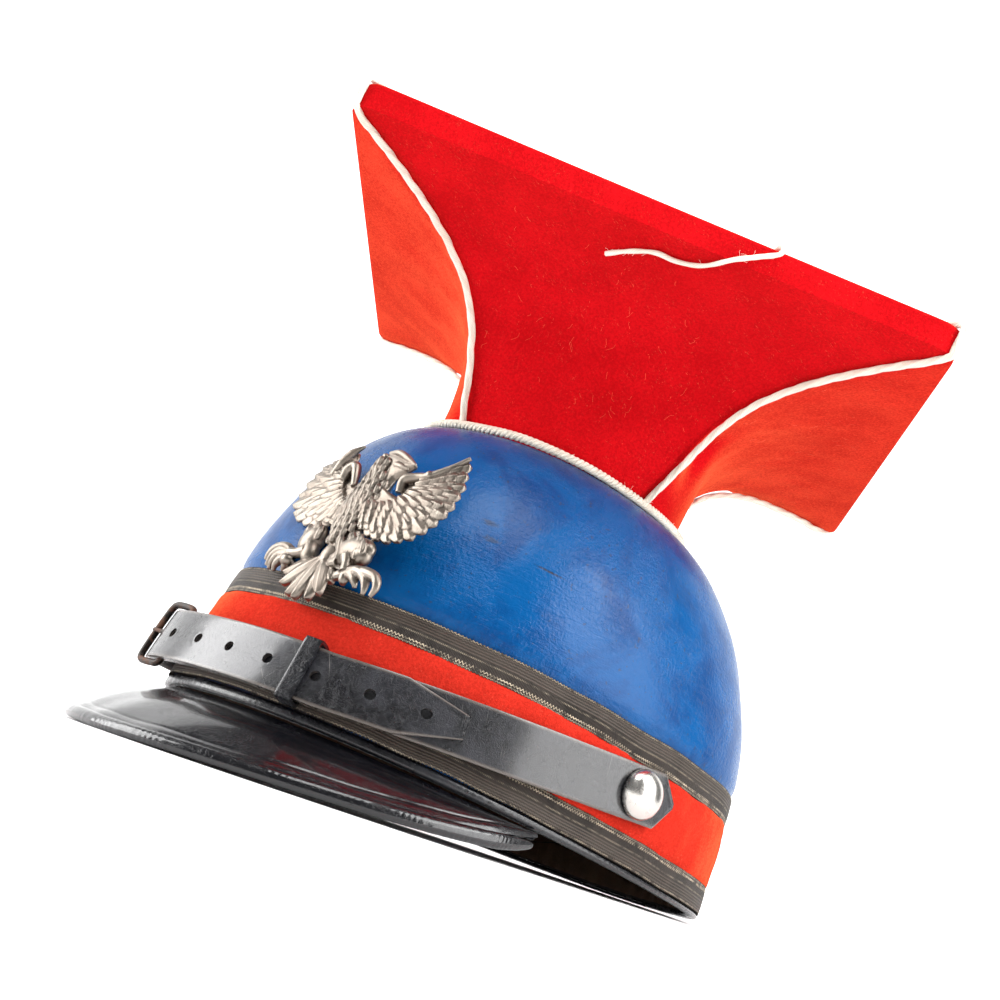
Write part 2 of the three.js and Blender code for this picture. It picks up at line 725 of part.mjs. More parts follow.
// A loop round both straps, with a rectangular section.
function keeper() {
  const { middle, along, across, out } = strapFrame(KEEPER.angle, underClearance(KEEPER.angle));
  const halfInside = STRAP.width / 2 + KEEPER.clearance;
  const floor = -GAP;
  const roof = 2 * STRAP.thickness + 2 * GAP;
  const loops = [];
  for (const [side, level] of [[-1, floor], [1, floor], [1, roof], [-1, roof]]) {
    const outwards = level === floor ? -KEEPER.thickness : KEEPER.thickness;
    const corner = (grow, shift) =>
      middle
        .clone()
        .addScaledVector(across, side * (halfInside + grow * KEEPER.thickness))
        .addScaledVector(out, level + grow * outwards)
        .addScaledVector(along, (shift * KEEPER.width) / 2);
    loops.push([corner(0, -1), corner(0, 1), corner(1, 1), corner(1, -1)]);
  }
  return barBody(loops, true);
}

// The buckle's two bars: the left strap ends at the near one, the right strap passes over it and then
// under the far one.
function buckleBar(angle, lift) {
  const { middle, across, out } = strapFrame(angle, underClearance(angle));
  return { middle: middle.addScaledVector(out, lift), across, out };
}

const nearBar = () => buckleBar(BUCKLE.nearAngle, STRAP.thickness / 2 - GAP);
const farBar = () => {
  const strapTop = overClearance(BUCKLE.farAngle) - underClearance(BUCKLE.farAngle) + STRAP.thickness;
  return buckleBar(BUCKLE.farAngle, strapTop + GAP + BUCKLE.wire);
};

function bucklePin(radius) {
  const near = nearBar();
  const far = farBar();
  const end = far.middle.addScaledVector(far.out, BUCKLE.wire);
  const sides = 8;
  return cordBody(new THREE.LineCurve3(near.middle, end), radius, sides, 1);
}

function buckle() {
  const half = STRAP.width / 2 + BUCKLE.clearance + BUCKLE.wire;
  const round = 2.5; // how far the bars stop short of the corners
  const corners = [];
  const bars = [nearBar(), farBar()];
  const lengthways = bars[1].middle.clone().sub(bars[0].middle).normalize();
  bars.forEach(({ middle, across }, i) => {
    const inward = lengthways.clone().multiplyScalar(i ? -round : round);
    const corner = (side, reach) => middle.clone().addScaledVector(across, side * reach);
    const first = i ? 1 : -1;
    corners.push(corner(first, half).add(inward), corner(first, half - round));
    corners.push(corner(-first, half - round), corner(-first, half).add(inward));
  });
  const sides = 6;
  const loops = corners.map((corner, i) => {
    const before = corners[(i + corners.length - 1) % corners.length];
    const after = corners[(i + 1) % corners.length];
    const along = after.clone().sub(before).normalize();
    const level = bars[0].out.clone().addScaledVector(along, -bars[0].out.dot(along)).normalize();
    const sideways = level.clone().cross(along);
    return Array.from({ length: sides }, (unused, k) => {
      const turn = (2 * Math.PI * k) / sides;
      return corner
        .clone()
        .addScaledVector(level, BUCKLE.wire * Math.cos(turn))
        .addScaledVector(sideways, BUCKLE.wire * Math.sin(turn));
    });
  });
  return joined([barBody(loops, true), bucklePin(BUCKLE.prong)]);
}

// A domed button whose post passes through the strap to the band.
function button(side) {
  const clearance = side > 0 ? underClearance : overClearance;
  const angle = side * BUTTON.angle;
  const { middle, out } = strapFrame(angle, clearance(angle));
  const seat = STRAP.thickness + GAP;
  const foot = GAP - clearance(angle) + BAND.padding;
  const profile = [new THREE.Vector2(0, foot), new THREE.Vector2(BUTTON.post, foot)];
  profile.push(new THREE.Vector2(BUTTON.post, seat), new THREE.Vector2(BUTTON.radius, seat));
  const domeSteps = 5;
  const sides = 16;
  for (let i = 0; i <= domeSteps; i++) {
    const turn = (Math.PI / 2) * (i / domeSteps);
    const height = seat + BUTTON.rim + (BUTTON.height - BUTTON.rim) * Math.sin(turn);
    profile.push(new THREE.Vector2(BUTTON.radius * Math.cos(turn) * (i < domeSteps ? 1 : 0), height));
  }
  const body = new THREE.LatheGeometry(profile, sides);
  body.applyQuaternion(new THREE.Quaternion().setFromUnitVectors(UP, out));
  body.translate(middle.x, middle.y, middle.z);
  return bare(body);
}

// ---------------------------------------------------------------- the eagle

// Outlines on the casting's own face: `right` towards the wearer's left, `up` from the helmet's lower edge.
const WING_OUTLINE = [
  { right: 0, up: 64 },
  { right: 9.2, up: 60.5 },
  { right: 19.3, up: 58.4 },
  { right: 25, up: 59 },
  { right: 29.4, up: 61.4 },
  { right: 36.1, up: 70 },
  { right: 38.5, up: 74.6 },
  { right: 38, up: 83.5 },
  { right: 35.6, up: 93 },
  { right: 33.5, up: 95.3 },
  { right: 28.9, up: 90.2 },
  { right: 24, up: 85.4 },
  { right: 14.6, up: 81.5 },
  { right: 14.2, up: 77.5 },
  { right: 15.2, up: 74.8 },
  { right: 9.6, up: 76.5 },
  { right: 0, up: 80 },
];
// The other wing's long feathers are bent back over its shoulder.
const BENT_WING_OUTLINE = [
  { right: 0, up: 64 },
  { right: 8.3, up: 61.1 },
  { right: 12.4, up: 59.7 },
  { right: 21, up: 60.1 },
  { right: 28.6, up: 61.3 },
  { right: 35.9, up: 65.2 },
  { right: 38, up: 70.7 },
  { right: 37.3, up: 79 },
  { right: 34.5, up: 84 },
  { right: 28.2, up: 88.9 },
  { right: 22, up: 91.2 },
  { right: 16.9, up: 93 },
  { right: 15.4, up: 91.2 },
  { right: 17.5, up: 86.5 },
  { right: 12.9, up: 83.7 },
  { right: 7.4, up: 74.8 },
  { right: 0, up: 80 },
];
const TAIL_OUTLINE = [
  { right: -4.5, up: 58 },
  { right: -3.5, up: 49 },
  { right: -10, up: 44.5 },
  { right: -15.7, up: 40.5 },
  { right: -12, up: 35.5 },
  { right: -3, up: 31 },
  { right: 6.5, up: 32 },
  { right: 12.5, up: 35.5 },
  { right: 10, up: 42 },
  { right: 4.5, up: 49 },
  { right: 5, up: 58 },
];
const FOOT_OUTLINE = [
  { right: 11.5, up: 50 },
  { right: 12.5, up: 45 },
  { right: 10, up: 41 },
  { right: 16.5, up: 39 },
  { right: 28.5, up: 37.6 },
  { right: 32.8, up: 37.4 },
  { right: 33.4, up: 42 },
  { right: 28, up: 45.5 },
  { right: 19, up: 47 },
  { right: 18, up: 50 },
];
const HEAD_OUTLINE = [
  { right: -4.6, up: 79.5 },
  { right: 7.6, up: 77.6 },
  { right: 11.3, up: 83.9 },
  { right: 14.8, up: 87.9 },
  { right: 3.1, up: 92.2 },
  { right: -1.7, up: 92.2 },
  { right: -4.6, up: 89 },
];
// Rounded masses of the relief, each an ellipsoid on the plate.
const EAGLE_MASSES = [
  { right: 0, up: 69, halfWidth: 9, halfHeight: 15, rise: 6.5 },
  { right: 1.5, up: 80, halfWidth: 6, halfHeight: 9, rise: 5.5 },
  { right: 1, up: 88.3, halfWidth: 5.5, halfHeight: 4.4, rise: 5 },
  { right: 12.5, up: 53.5, halfWidth: 7, halfHeight: 6, rise: 5 },
  { right: -12.5, up: 53.5, halfWidth: 7, halfHeight: 6, rise: 5 },
  { right: -1, up: 42, halfWidth: 6, halfHeight: 9, rise: 4 },
];

function plateFrom(outline, mirror = 1) {
  const shape = new THREE.Shape(outline.map(({ right, up }) => new THREE.Vector2(mirror * right, up)));
  return bare(new THREE.ExtrudeGeometry(shape, { depth: EAGLE.plate, bevelEnabled: false }));
}

function eagleMass({ right, up, halfWidth, halfHeight, rise }) {
  const sectors = 12;
  const rings = 8;
  const ball = new THREE.SphereGeometry(1, sectors, rings);
  ball.scale(halfWidth, halfHeight, rise);
  ball.translate(right, up, 0);
  const inFront = new THREE.BoxGeometry(2 * (Math.abs(right) + halfWidth) + 1, 2 * halfHeight + 1, 2 * rise);
  inFront.translate(0, up, rise);
  return fromManifold(toManifold(bare(ball)).intersect(toManifold(bare(inFront))));
}

function wing(mirror) {
  const { at, left, right } = EAGLE.wingFold;
  const plate = plateFrom(mirror > 0 ? WING_OUTLINE : BENT_WING_OUTLINE, mirror);
  plate.translate(-mirror * at, 0, 0);
  plate.rotateY(mirror * radians(mirror > 0 ? left : right));
  return plate.translate(mirror * at, 0, 0);
}

// How far forward the back of the casting lies at a height.
const eagleBack = (height) =>
  wallPoint(0, EAGLE.heightAt).y - EAGLE.standoff + EAGLE.lean * (height - EAGLE.heightAt);

// A post from the casting back to the skull, where the wall slants away from it.
function eaglePost(height) {
  const front = eagleBack(height) - EAGLE.plate / 2;
  const behind = THREE.MathUtils.radToDeg(Math.atan2(EAGLE.acrossAt, -wallPoint(0, height).y));
  const length = wallPoint(behind, height).y - GAP - front;
  const sides = 8;
  const post = new THREE.CylinderGeometry(EAGLE.postRadius, EAGLE.postRadius, length, sides);
  return bare(post.translate(EAGLE.acrossAt, front + length / 2, height));
}

function eagle() {
  const casting = joined([
    wing(1),
    wing(-1),
    plateFrom(TAIL_OUTLINE),
    plateFrom(FOOT_OUTLINE),
    plateFrom(FOOT_OUTLINE, -1),
    plateFrom(HEAD_OUTLINE),
    ...EAGLE_MASSES.map(eagleMass),
  ]);
  casting.translate(0, -EAGLE.heightAt, 0);
  casting.rotateX(Math.PI / 2 - Math.atan(EAGLE.lean));
  casting.translate(EAGLE.acrossAt, eagleBack(EAGLE.heightAt), EAGLE.heightAt);
  return joined([casting, ...EAGLE.postHeights.map(eaglePost)]);
}

// ---------------------------------------------------------------- assembly

const helmet = new THREE.Group();
helmet.add(
  named("skull", skull(), bluePaint()),
  named("braid_lower", braid(BRAID.lowest), tarnishedLace()),
  named("braid_upper", braid(UPPER_BRAID_LOWEST), tarnishedLace()),
  named("band_cloth", bandCloth(), redCloth()),
  named("rim_binding", rimBinding(), blackLeather()),
  named("sweatband", sweatband(), blackLeather()),
  named("rear_gusset", rearGusset(), brownLeather()),
  named("crown_front_left", crownSide(0), redCloth()),
  named("crown_rear_left", crownSide(90), redCloth()),
  named("crown_rear_right", crownSide(180), redCloth()),
  named("crown_front_right", crownSide(270), redCloth()),
  named("crown_top", crownTop(), redCloth()),
  named("piping_front", piping(0), whiteCord()),
  named("piping_left", piping(90), whiteCord()),
  named("piping_rear", piping(180), whiteCord()),
  named("piping_right", piping(270), whiteCord()),
  named("waist_cord", waistCord(), whiteCord()),
  named("peak", peak(), patentLeather()),
  named("peak_binding", peakBinding(), patentLeather()),
  named("strap_left", strapLeft(), blackLeather()),
  named("strap_right", strapRight(), blackLeather()),
  named("strap_keeper", keeper(), blackLeather()),
  named("strap_buckle", buckle(), darkIron()),
  named("button_left", button(1), whiteMetal()),
  named("button_right", button(-1), whiteMetal()),
  named("eagle_badge", eagle(), whiteMetal()),
);

// Pitched back until the peak's front edge and the rear of the rim are level, then set down on the
// surface with the middle of its box over the origin.
const peakFoot = peakPoint(0, 1, -PEAK.bead / 2);
const rearFoot = wallPoint(180, -bindingDepth(180), -BINDING.outer);
helmet.rotation.x = -Math.atan2(rearFoot.z - peakFoot.z, rearFoot.y - peakFoot.y);
const part = new THREE.Group();
part.add(helmet);
part.updateMatrixWorld(true);
const box = new THREE.Box3().setFromObject(part, true);
const centre = box.getCenter(new THREE.Vector3());
helmet.position.set(-centre.x, -centre.y, -box.min.z);
helmet.add(named("loose_cord", looseCord(), whiteCord()));

export default part;
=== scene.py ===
"""A lancer's helmet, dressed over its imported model.

Each piece is laid out flat or as a plain primitive, shaped in the helmet's own upright frame, where the
lower edge is at height 0, and then stood on the floor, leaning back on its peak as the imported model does.
"""

import math

import bpy
import numpy as np
from mathutils import Matrix, Vector


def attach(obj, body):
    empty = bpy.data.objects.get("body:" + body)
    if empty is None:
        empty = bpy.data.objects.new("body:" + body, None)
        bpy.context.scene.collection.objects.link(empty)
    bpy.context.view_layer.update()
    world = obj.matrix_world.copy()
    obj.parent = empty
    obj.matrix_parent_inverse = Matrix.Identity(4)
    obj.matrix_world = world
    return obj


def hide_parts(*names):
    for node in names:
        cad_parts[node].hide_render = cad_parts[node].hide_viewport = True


bl_info = {
    "name": "Lancer's Helmet",
    "version": (1, 0, 0),
    "blender": (4, 5, 0),
    "location": "3D View > Sidebar > Helmet",
    "description": "Dresses a cavalry helmet with cloth, lace, leather, cord and cast metal",
    "category": "Add Mesh",
}

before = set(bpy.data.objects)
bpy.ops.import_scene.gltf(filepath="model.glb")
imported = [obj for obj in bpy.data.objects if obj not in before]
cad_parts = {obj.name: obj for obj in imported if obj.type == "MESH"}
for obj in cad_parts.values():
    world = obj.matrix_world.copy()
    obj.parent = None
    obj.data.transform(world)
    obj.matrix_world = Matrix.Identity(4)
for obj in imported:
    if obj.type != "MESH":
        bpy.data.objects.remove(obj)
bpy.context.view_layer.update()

MM = 0.001
GAP = 0.3 * MM  # what pieces that touch keep between them
BODY = "root"
TURN = 2 * math.pi
UP = np.array([0.0, 0.0, 1.0])

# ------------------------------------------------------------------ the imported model's shape, repeated

# Level sections of the wall: a superellipse that is a little narrower in front.
SECTION_POWER = 2.21
RIM = {"height": 0, "half_width": 86.9 * MM, "half_length": 108 * MM, "centre_y": 0, "narrowing": 0.05}
BRAID_TOP = {
    "height": 42.6 * MM,
    "half_width": 85.8 * MM,
    "half_length": 100.3 * MM,
    "centre_y": 0.1 * MM,
    "narrowing": 0.07,
}
WAIST = {
    "height": 119.6 * MM,
    "half_width": 43.5 * MM,
    "half_length": 49 * MM,
    "centre_y": -6.7 * MM,
    "narrowing": 0,
}
DOME = {"fullness": 1.5, "roundness": 0.55}
REAR_LIFT = {"height": 2.5 * MM, "from": 110, "to": 170}

CROWN = {
    "foot": 120.3 * MM,
    "corner": 185.3 * MM,
    "corner_reach": 152 * MM,
    "edge": 10.1 * MM,
    "pitch": math.radians(1.7),
    "centre_shift": 2.3 * MM,
    "waist_reach": 49.5 * MM,
    "waist_narrowing": 4.5 * MM,
    "flare_start": 31 * MM,
    "flare_power": 5.5,
    "squaring": 2.5,
    "corner_radius": 8 * MM,
    "ridge_radius": 2 * MM,
}
DENT = {"angle": 104, "climb": 0.42, "depth": 5 * MM, "half_width": 11, "half_height": 0.16}
TOP_HEIGHT = CROWN["corner"] + CROWN["edge"]

PEAK = {
    "reach": 34 * MM,
    "end_angle": 71,
    "vanishing_angle": 75,
    "roundness": 1.6,
    "slope": math.radians(36),
    "thickness": 2.4 * MM,
    "camber": 1.8 * MM,
    "tucked_under": 2.4 * MM,
    "bead": 5 * MM,
}
BINDING_DEPTH = {"front": 3.8 * MM, "rear": 1.6 * MM}

STRAP = {
    "thickness": 1.8 * MM,
    "resting": 1.4 * MM,
    "raised": 2.8 * MM,
    "front_height": 11 * MM,
    "rise_from": 25,
    "rise": 0.118 * MM,
    "rise_power": 1.1,
    "buckle_angle": -23,
    "buckle_lift": 3.4 * MM,
    "buckle_spread": 12,
    "end_angle": 102.5,
    "tip_angle": 49.9,
}
HOLE_ANGLES = [42.9, 33.3, 23.7, 14.1, 4.5, -5.1, -14.7]
KEEPER_ANGLE = 20.5
BUCKLE = {"near": -17, "far": -25, "wire": 1.2 * MM, "clearance": 0.6 * MM}
BUTTON_ANGLE = 91.5

EAGLE = {
    "across_at": 22 * MM,
    "height_at": 60 * MM,
    "standoff": 1.8 * MM,
    "lean": 0.19,
    "fold_at": 14,
    "fold_near": 9,
    "fold_far": 3,
}

# How the helmet stands: it leans back about its peak's edge, and its box's middle is over the origin.
LEAN_BACK = math.radians(7.0811)
STANDING_AT = Vector((0, -15.2035 * MM, 12.4416 * MM))
STANDING = Matrix.Translation(STANDING_AT) @ Matrix.Rotation(-LEAN_BACK, 4, "X")


def stack(x, y, z):
    """Points as rows, from numbers or arrays."""
    return np.stack(np.broadcast_arrays(x, y, z), axis=-1).astype(float)


def smooth(value, low, high):
    part = np.clip((value - low) / (high - low), 0, 1)
    return part * part * (3 - 2 * part)


def unit(vectors):
    return vectors / np.maximum(np.linalg.norm(vectors, axis=-1, keepdims=True), 1e-12)


def outward(angle):
    """The level direction that leads away from the helmet's middle at an angle."""
    turn = np.radians(angle)
    return stack(np.sin(turn), -np.cos(turn), 0)


def wall(angle, height, offset=0.0):
    """Points of the helmet's wall. The angle is 0 in front and grows towards the wearer's left."""
    angle, height = np.broadcast_arrays(np.asarray(angle, float), np.asarray(height, float))
    low = np.clip(height / BRAID_TOP["height"], -0.2, 1)
    climb = np.clip((height - BRAID_TOP["height"]) / (WAIST["height"] - BRAID_TOP["height"]), 0, 1)
    dome = (1 - climb ** DOME["fullness"]) ** DOME["roundness"]
    above = height > BRAID_TOP["height"]

    def at(key):
        below_value = RIM[key] + (BRAID_TOP[key] - RIM[key]) * low
        return np.where(above, WAIST[key] + (BRAID_TOP[key] - WAIST[key]) * dome, below_value)

    turn = np.radians(angle)
    half_width, half_length = at("half_width") + offset, at("half_length") + offset
    width_term = np.abs(np.sin(turn) / half_width) ** SECTION_POWER
    length_term = np.abs(np.cos(turn) / half_length) ** SECTION_POWER
    radius = (width_term + length_term) ** (-1 / SECTION_POWER)
    y = -radius * np.cos(turn)
    x = radius * np.sin(turn) * (1 + at("narrowing") * y / half_length)
    from_front = np.abs((angle + 180) % 360 - 180)
    lifted = smooth(from_front, REAR_LIFT["from"], REAR_LIFT["to"]) * REAR_LIFT["height"]
    return stack(x, y + at("centre_y"), height + lifted * np.maximum(0, 1 - height / BRAID_TOP["height"]))


def crown_level(flare):
    return CROWN["foot"] + (CROWN["corner"] - CROWN["foot"]) * flare


def crown_profile(angle, climb):
    """Reach, height and flare of the crown: climb is 0 at the waist, 1 at the corners and 2 over the edge."""
    flare = np.minimum(climb, 1)
    growth = CROWN["corner_reach"] - CROWN["waist_reach"] - CROWN["flare_start"]
    narrower = CROWN["waist_narrowing"] * np.sin(np.radians(angle)) ** 2 * (1 - flare) ** 3
    spread = CROWN["flare_start"] * flare + growth * flare ** CROWN["flare_power"]
    reach = CROWN["waist_reach"] + spread - narrower
    rounding = CROWN["ridge_radius"] + (CROWN["corner_radius"] - CROWN["ridge_radius"]) * flare**4
    corner_radius = rounding / reach
    turn = np.radians(np.abs((angle + 45) % 90 - 45))
    centre = 1 - corner_radius * math.sqrt(2)
    tangent = corner_radius / math.sqrt(2)
    flat = 1 / (np.cos(turn) + np.sin(turn))
    curved = centre * np.cos(turn) + np.sqrt(np.maximum(corner_radius**2 - (centre * np.sin(turn)) ** 2, 0))
    square = np.where(np.tan(turn) > tangent / (centre + tangent), flat, curved)
    roundness = (1 - flare) ** CROWN["squaring"]
    height = crown_level(flare) + np.maximum(0, climb - 1) * CROWN["edge"]
    return reach * (square + (1 - square) * roundness), height, flare


def crown_place(angle, reach, height, flare):
    turn = np.radians(angle)
    pitch = CROWN["pitch"] * flare
    along = -reach * np.cos(turn)
    level = crown_level(flare)
    lift = height - level
    y = along * np.cos(pitch) + lift * np.sin(pitch)
    z = -along * np.sin(pitch) + lift * np.cos(pitch)
    return stack(reach * np.sin(turn), y + WAIST["centre_y"] + CROWN["centre_shift"] * flare, z + level)


def dent(angle, climb):
    """How deep the crown is dented at a place."""
    across = (angle % 360 - DENT["angle"]) / DENT["half_width"]
    up = (climb - DENT["climb"]) / DENT["half_height"]
    return DENT["depth"] * np.exp(-(across**2) - up**2)


def crown(angle, climb, offset=0.0):
    """Points of the crown's surface, moved along its profile's own normal by offset."""
    angle, climb = np.broadcast_arrays(np.asarray(angle, float), np.asarray(climb, float))
    step = 0.01
    low_reach, low_height, _ = crown_profile(angle, np.maximum(0, climb - step))
    high_reach, high_height, _ = crown_profile(angle, np.minimum(2, climb + step))
    reach, height, flare = crown_profile(angle, climb)
    run, rise = high_reach - low_reach, high_height - low_height
    length = np.hypot(run, rise)
    moved_out = offset - dent(angle, climb)
    return crown_place(angle, reach + moved_out * rise / length, height - moved_out * run / length, flare)


def binding_depth(angle):
    part = (1 + np.cos(np.radians(angle))) / 2
    return BINDING_DEPTH["rear"] + (BINDING_DEPTH["front"] - BINDING_DEPTH["rear"]) * part


def peak_reach(angle):
    return PEAK["reach"] * (1 - (np.abs(angle) / PEAK["vanishing_angle"]) ** PEAK["roundness"])


def peak_point(angle, out, raised=0.0):
    """Points of the peak's middle surface: out is 0 at the rim and 1 at the free edge."""
    tucked = PEAK["tucked_under"]
    root = wall(angle, 0, -tucked)
    ahead = wall(angle + 1, 0, -tucked) - wall(angle - 1, 0, -tucked)
    out_level = unit(stack(ahead[..., 1], -ahead[..., 0], 0))
    slope = PEAK["slope"]
    reach = (peak_reach(angle) + tucked) * out
    lift = PEAK["camber"] * np.sin(math.pi * out) + raised
    drop = binding_depth(angle) + GAP + PEAK["thickness"] / 2 / math.cos(slope)
    point = root + out_level * (reach * math.cos(slope) + lift * math.sin(slope))[..., None]
    point[..., 2] += lift * math.cos(slope) - reach * math.sin(slope) - drop
    return point


def strap_height(angle):
    beyond = np.maximum(0, np.abs(angle) - STRAP["rise_from"])
    return STRAP["front_height"] + STRAP["rise"] * beyond ** STRAP["rise_power"]


def under_clearance(angle):
    settled = smooth(np.abs(angle), 55, 80)
    bump = STRAP["buckle_lift"] * np.exp(-(((angle - STRAP["buckle_angle"]) / STRAP["buckle_spread"]) ** 2))
    return STRAP["raised"] + (STRAP["resting"] - STRAP["raised"]) * settled + bump


def over_clearance(angle):
    return under_clearance(angle) + (STRAP["thickness"] + GAP) * smooth(angle, -60, -34)


def strap_frame(angle, clearance):
    """Middle, along, across and out directions of a strap at each angle."""
    angle = np.asarray(angle, float)
    height = strap_height(angle)
    middle = wall(angle, height, clearance)
    ahead, behind = (wall(at, strap_height(at), clearance) for at in (angle + 0.5, angle - 0.5))
    along = unit(ahead - behind)
    rise = wall(angle, height + MM, clearance) - wall(angle, height - MM, clearance)
    out = unit(np.cross(along, rise))
    return middle, along, unit(np.cross(out, along)), out


def wobble(points, size, waves=5, seed=1):
    """A smooth wandering value of about -1 to 1 over points, with lumps of about the given size."""
    chance = np.random.RandomState(seed)
    total = np.zeros(points.shape[:-1])
    for _ in range(waves):
        direction = unit(chance.normal(size=3)) * TURN / size * chance.uniform(0.5, 1.4)
        total += np.sin(points @ direction + chance.uniform(0, TURN))
    return total / waves**0.5 / 1.4


def by_length(points, part):
    """The coordinates of what lies a part of the way along a line of points, by its length."""
    points = np.asarray(points, float)
    gone = np.concatenate([[0], np.cumsum(np.linalg.norm(np.diff(points, axis=0), axis=1))])
    return [np.interp(part * gone[-1], gone, column) for column in points.T]


def round_loop(corners, part):
    """The coordinates of what lies a part of the way round a closed loop of corners, by its length."""
    return by_length(corners + corners[:1], part)


def flowing(points, steps):
    """Even points along a smooth curve through the given ones (a centripetal Catmull-Rom spline)."""
    points = np.asarray(points, float)
    padded = np.vstack([2 * points[0] - points[1], points, 2 * points[-1] - points[-2]])
    dense = []
    for i in range(1, len(padded) - 2):
        p = padded[i - 1 : i + 3]
        knots = np.concatenate([[0], np.cumsum(np.linalg.norm(np.diff(p, axis=0), axis=1) ** 0.5)])
        for t in np.linspace(knots[1], knots[2], 24, endpoint=False):

            def mixed(low, high, start, stop):
                return ((knots[stop] - t) * low + (t - knots[start]) * high) / (knots[stop] - knots[start])

            a = [mixed(p[j], p[j + 1], j, j + 1) for j in range(3)]
            b = [mixed(a[j], a[j + 1], j, j + 2) for j in range(2)]
            dense.append(mixed(b[0], b[1], 1, 2))
    return np.stack(by_length(dense + [points[-1]], np.linspace(0, 1, steps + 1)), axis=1)


def squarish(turn, power):
    """The reach of a superellipse of half width 1 at each turn: the higher the power, the squarer it is."""
    return (np.abs(np.cos(turn)) ** power + np.abs(np.sin(turn)) ** power) ** (-1 / power)


def moved(points, *moves):
    """Points moved by each direction and distance in turn."""
    for direction, distance in moves:
        points = points + direction * np.asarray(distance)[..., None]
    return points


# ------------------------------------------------------------------ working on a mesh


def deselect():
    if bpy.context.object and bpy.context.object.mode != "OBJECT":
        bpy.ops.object.mode_set(mode="OBJECT")
    bpy.ops.object.select_all(action="DESELECT")


def select(piece):
    deselect()
    piece.select_set(True)
    bpy.context.view_layer.objects.active = piece


def read(piece):
    flat = np.empty(len(piece.data.vertices) * 3)
    piece.data.vertices.foreach_get("co", flat)
    return flat.reshape(-1, 3)


def write(piece, points):
    piece.data.vertices.foreach_set("co", np.ascontiguousarray(points, dtype=float).ravel())
    piece.data.update()


def lay_out(name, columns, rows, place, size=None):
    """A flat grid from 0 to 1 each way, shaped by place(u, v). Its UV map is in metres when size is given."""
    deselect()
    middle = (0.5, 0.5, 0)
    bpy.ops.mesh.primitive_grid_add(x_subdivisions=columns, y_subdivisions=rows, size=1, location=middle)
    piece = bpy.context.object
    piece.name = piece.data.name = name
    bpy.ops.object.transform_apply(location=True, rotation=True, scale=True)
    flat = read(piece)
    write(piece, place(flat[:, 0], flat[:, 1]))
    if size:
        layer = piece.data.uv_layers.active.data
        uv = np.empty(len(layer) * 2)
        layer.foreach_get("uv", uv)
        uv = uv.reshape(-1, 2) * size
        layer.foreach_set("uv", uv.ravel())
    return piece


def in_edit_mode(piece, *steps):
    """Runs edit-mode steps on the whole of a piece."""
    select(piece)
    bpy.ops.object.mode_set(mode="EDIT")
    bpy.ops.mesh.select_all(action="SELECT")
    for step in steps:
        step()
    bpy.ops.object.mode_set(mode="OBJECT")
    return piece


def close_seam(piece, distance=0.002 * MM):
    return in_edit_mode(piece, lambda: bpy.ops.mesh.remove_doubles(threshold=distance))


def face_outwards(piece):
    return in_edit_mode(piece, lambda: bpy.ops.mesh.normals_make_consistent(inside=False))


def cap_ends(piece):
    return in_edit_mode(
        piece,
        lambda: bpy.ops.mesh.select_all(action="DESELECT"),
        lambda: bpy.ops.mesh.select_non_manifold(),
        lambda: bpy.ops.mesh.fill_holes(sides=0),
    )


def shell(name, columns, rows, place, size=None, capped=False):
    """A grid whose sides meet, as a tube or a ring does. A tube is capped at its open ends."""
    piece = close_seam(lay_out(name, columns, rows, place, size))
    return face_outwards(cap_ends(piece) if capped else piece)


def face_towards(piece, direction):
    """Turns the faces of an open sheet to the side that a direction points to."""
    face_outwards(piece)
    if piece.data.polygons[len(piece.data.polygons) // 2].normal @ Vector(direction) < 0:
        in_edit_mode(piece, bpy.ops.mesh.flip_normals)


def apply(piece, kind, **settings):
    """Adds a modifier with these settings and applies it."""
    select(piece)
    modifier = piece.modifiers.new(kind.title(), kind)
    for key, value in settings.items():
        setattr(modifier, key, value)
    bpy.ops.object.modifier_apply(modifier=modifier.name)
    return piece


def thicken(piece, thickness, offset=-1, **more):
    return apply(piece, "SOLIDIFY", thickness=thickness, offset=offset, use_even_offset=True, **more)


def join(pieces, name):
    deselect()
    for piece in pieces:
        piece.select_set(True)
    bpy.context.view_layer.objects.active = pieces[0]
    bpy.ops.object.join()
    pieces[0].name = pieces[0].data.name = name
    return pieces[0]


def tube(name, route, radius, sides, closed=False, wave=None):
    """A round bar along a list of points. radius may be a list, one for each point."""
    route = np.asarray(route, float)
    count = len(route)
    columns = count if closed else count - 1
    ahead = np.roll(route, -1, 0) - np.roll(route, 1, 0)
    if not closed:
        ahead[0], ahead[-1] = route[1] - route[0], route[-1] - route[-2]
    along = unit(ahead)
    side = np.zeros_like(route)
    side[0] = unit(np.cross(along[0], [0.3, 0.2, 1.0]))
    for i in range(1, count):
        side[i] = unit(side[i - 1] - along[i] * (side[i - 1] @ along[i]))
    square = np.cross(along, side)
    thick = np.broadcast_to(np.asarray(radius, float), (count,))

    def place(u, v):
        i = np.rint(u * columns).astype(int) % count
        turn = TURN * v
        reach = thick[i] * (1 + (wave(i / columns, v) if wave else 0))
        return moved(route[i], (side[i], reach * np.cos(turn)), (square[i], reach * np.sin(turn)))

    length = float(np.linalg.norm(np.diff(route, axis=0), axis=1).sum())
    return shell(name, columns, sides, place, (length, TURN * float(thick.mean())), capped=not closed)


def stand(piece, look, *nodes, slot=None, angle=35):
    """Stands a finished piece on the floor with the helmet, and says what it replaces and rides on.

    A piece that is given no look keeps its materials. Its slot argument is not used.
    """
    piece.data.transform(STANDING @ piece.matrix_world)
    piece.matrix_world = Matrix.Identity(4)
    if look:
        piece.data.materials.clear()
        piece.data.materials.append(finish(look))
    select(piece)
    bpy.ops.object.shade_smooth_by_angle(angle=math.radians(angle))
    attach(piece, BODY)
    if nodes:
        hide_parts(*nodes)


# ------------------------------------------------------------------ shader nodes


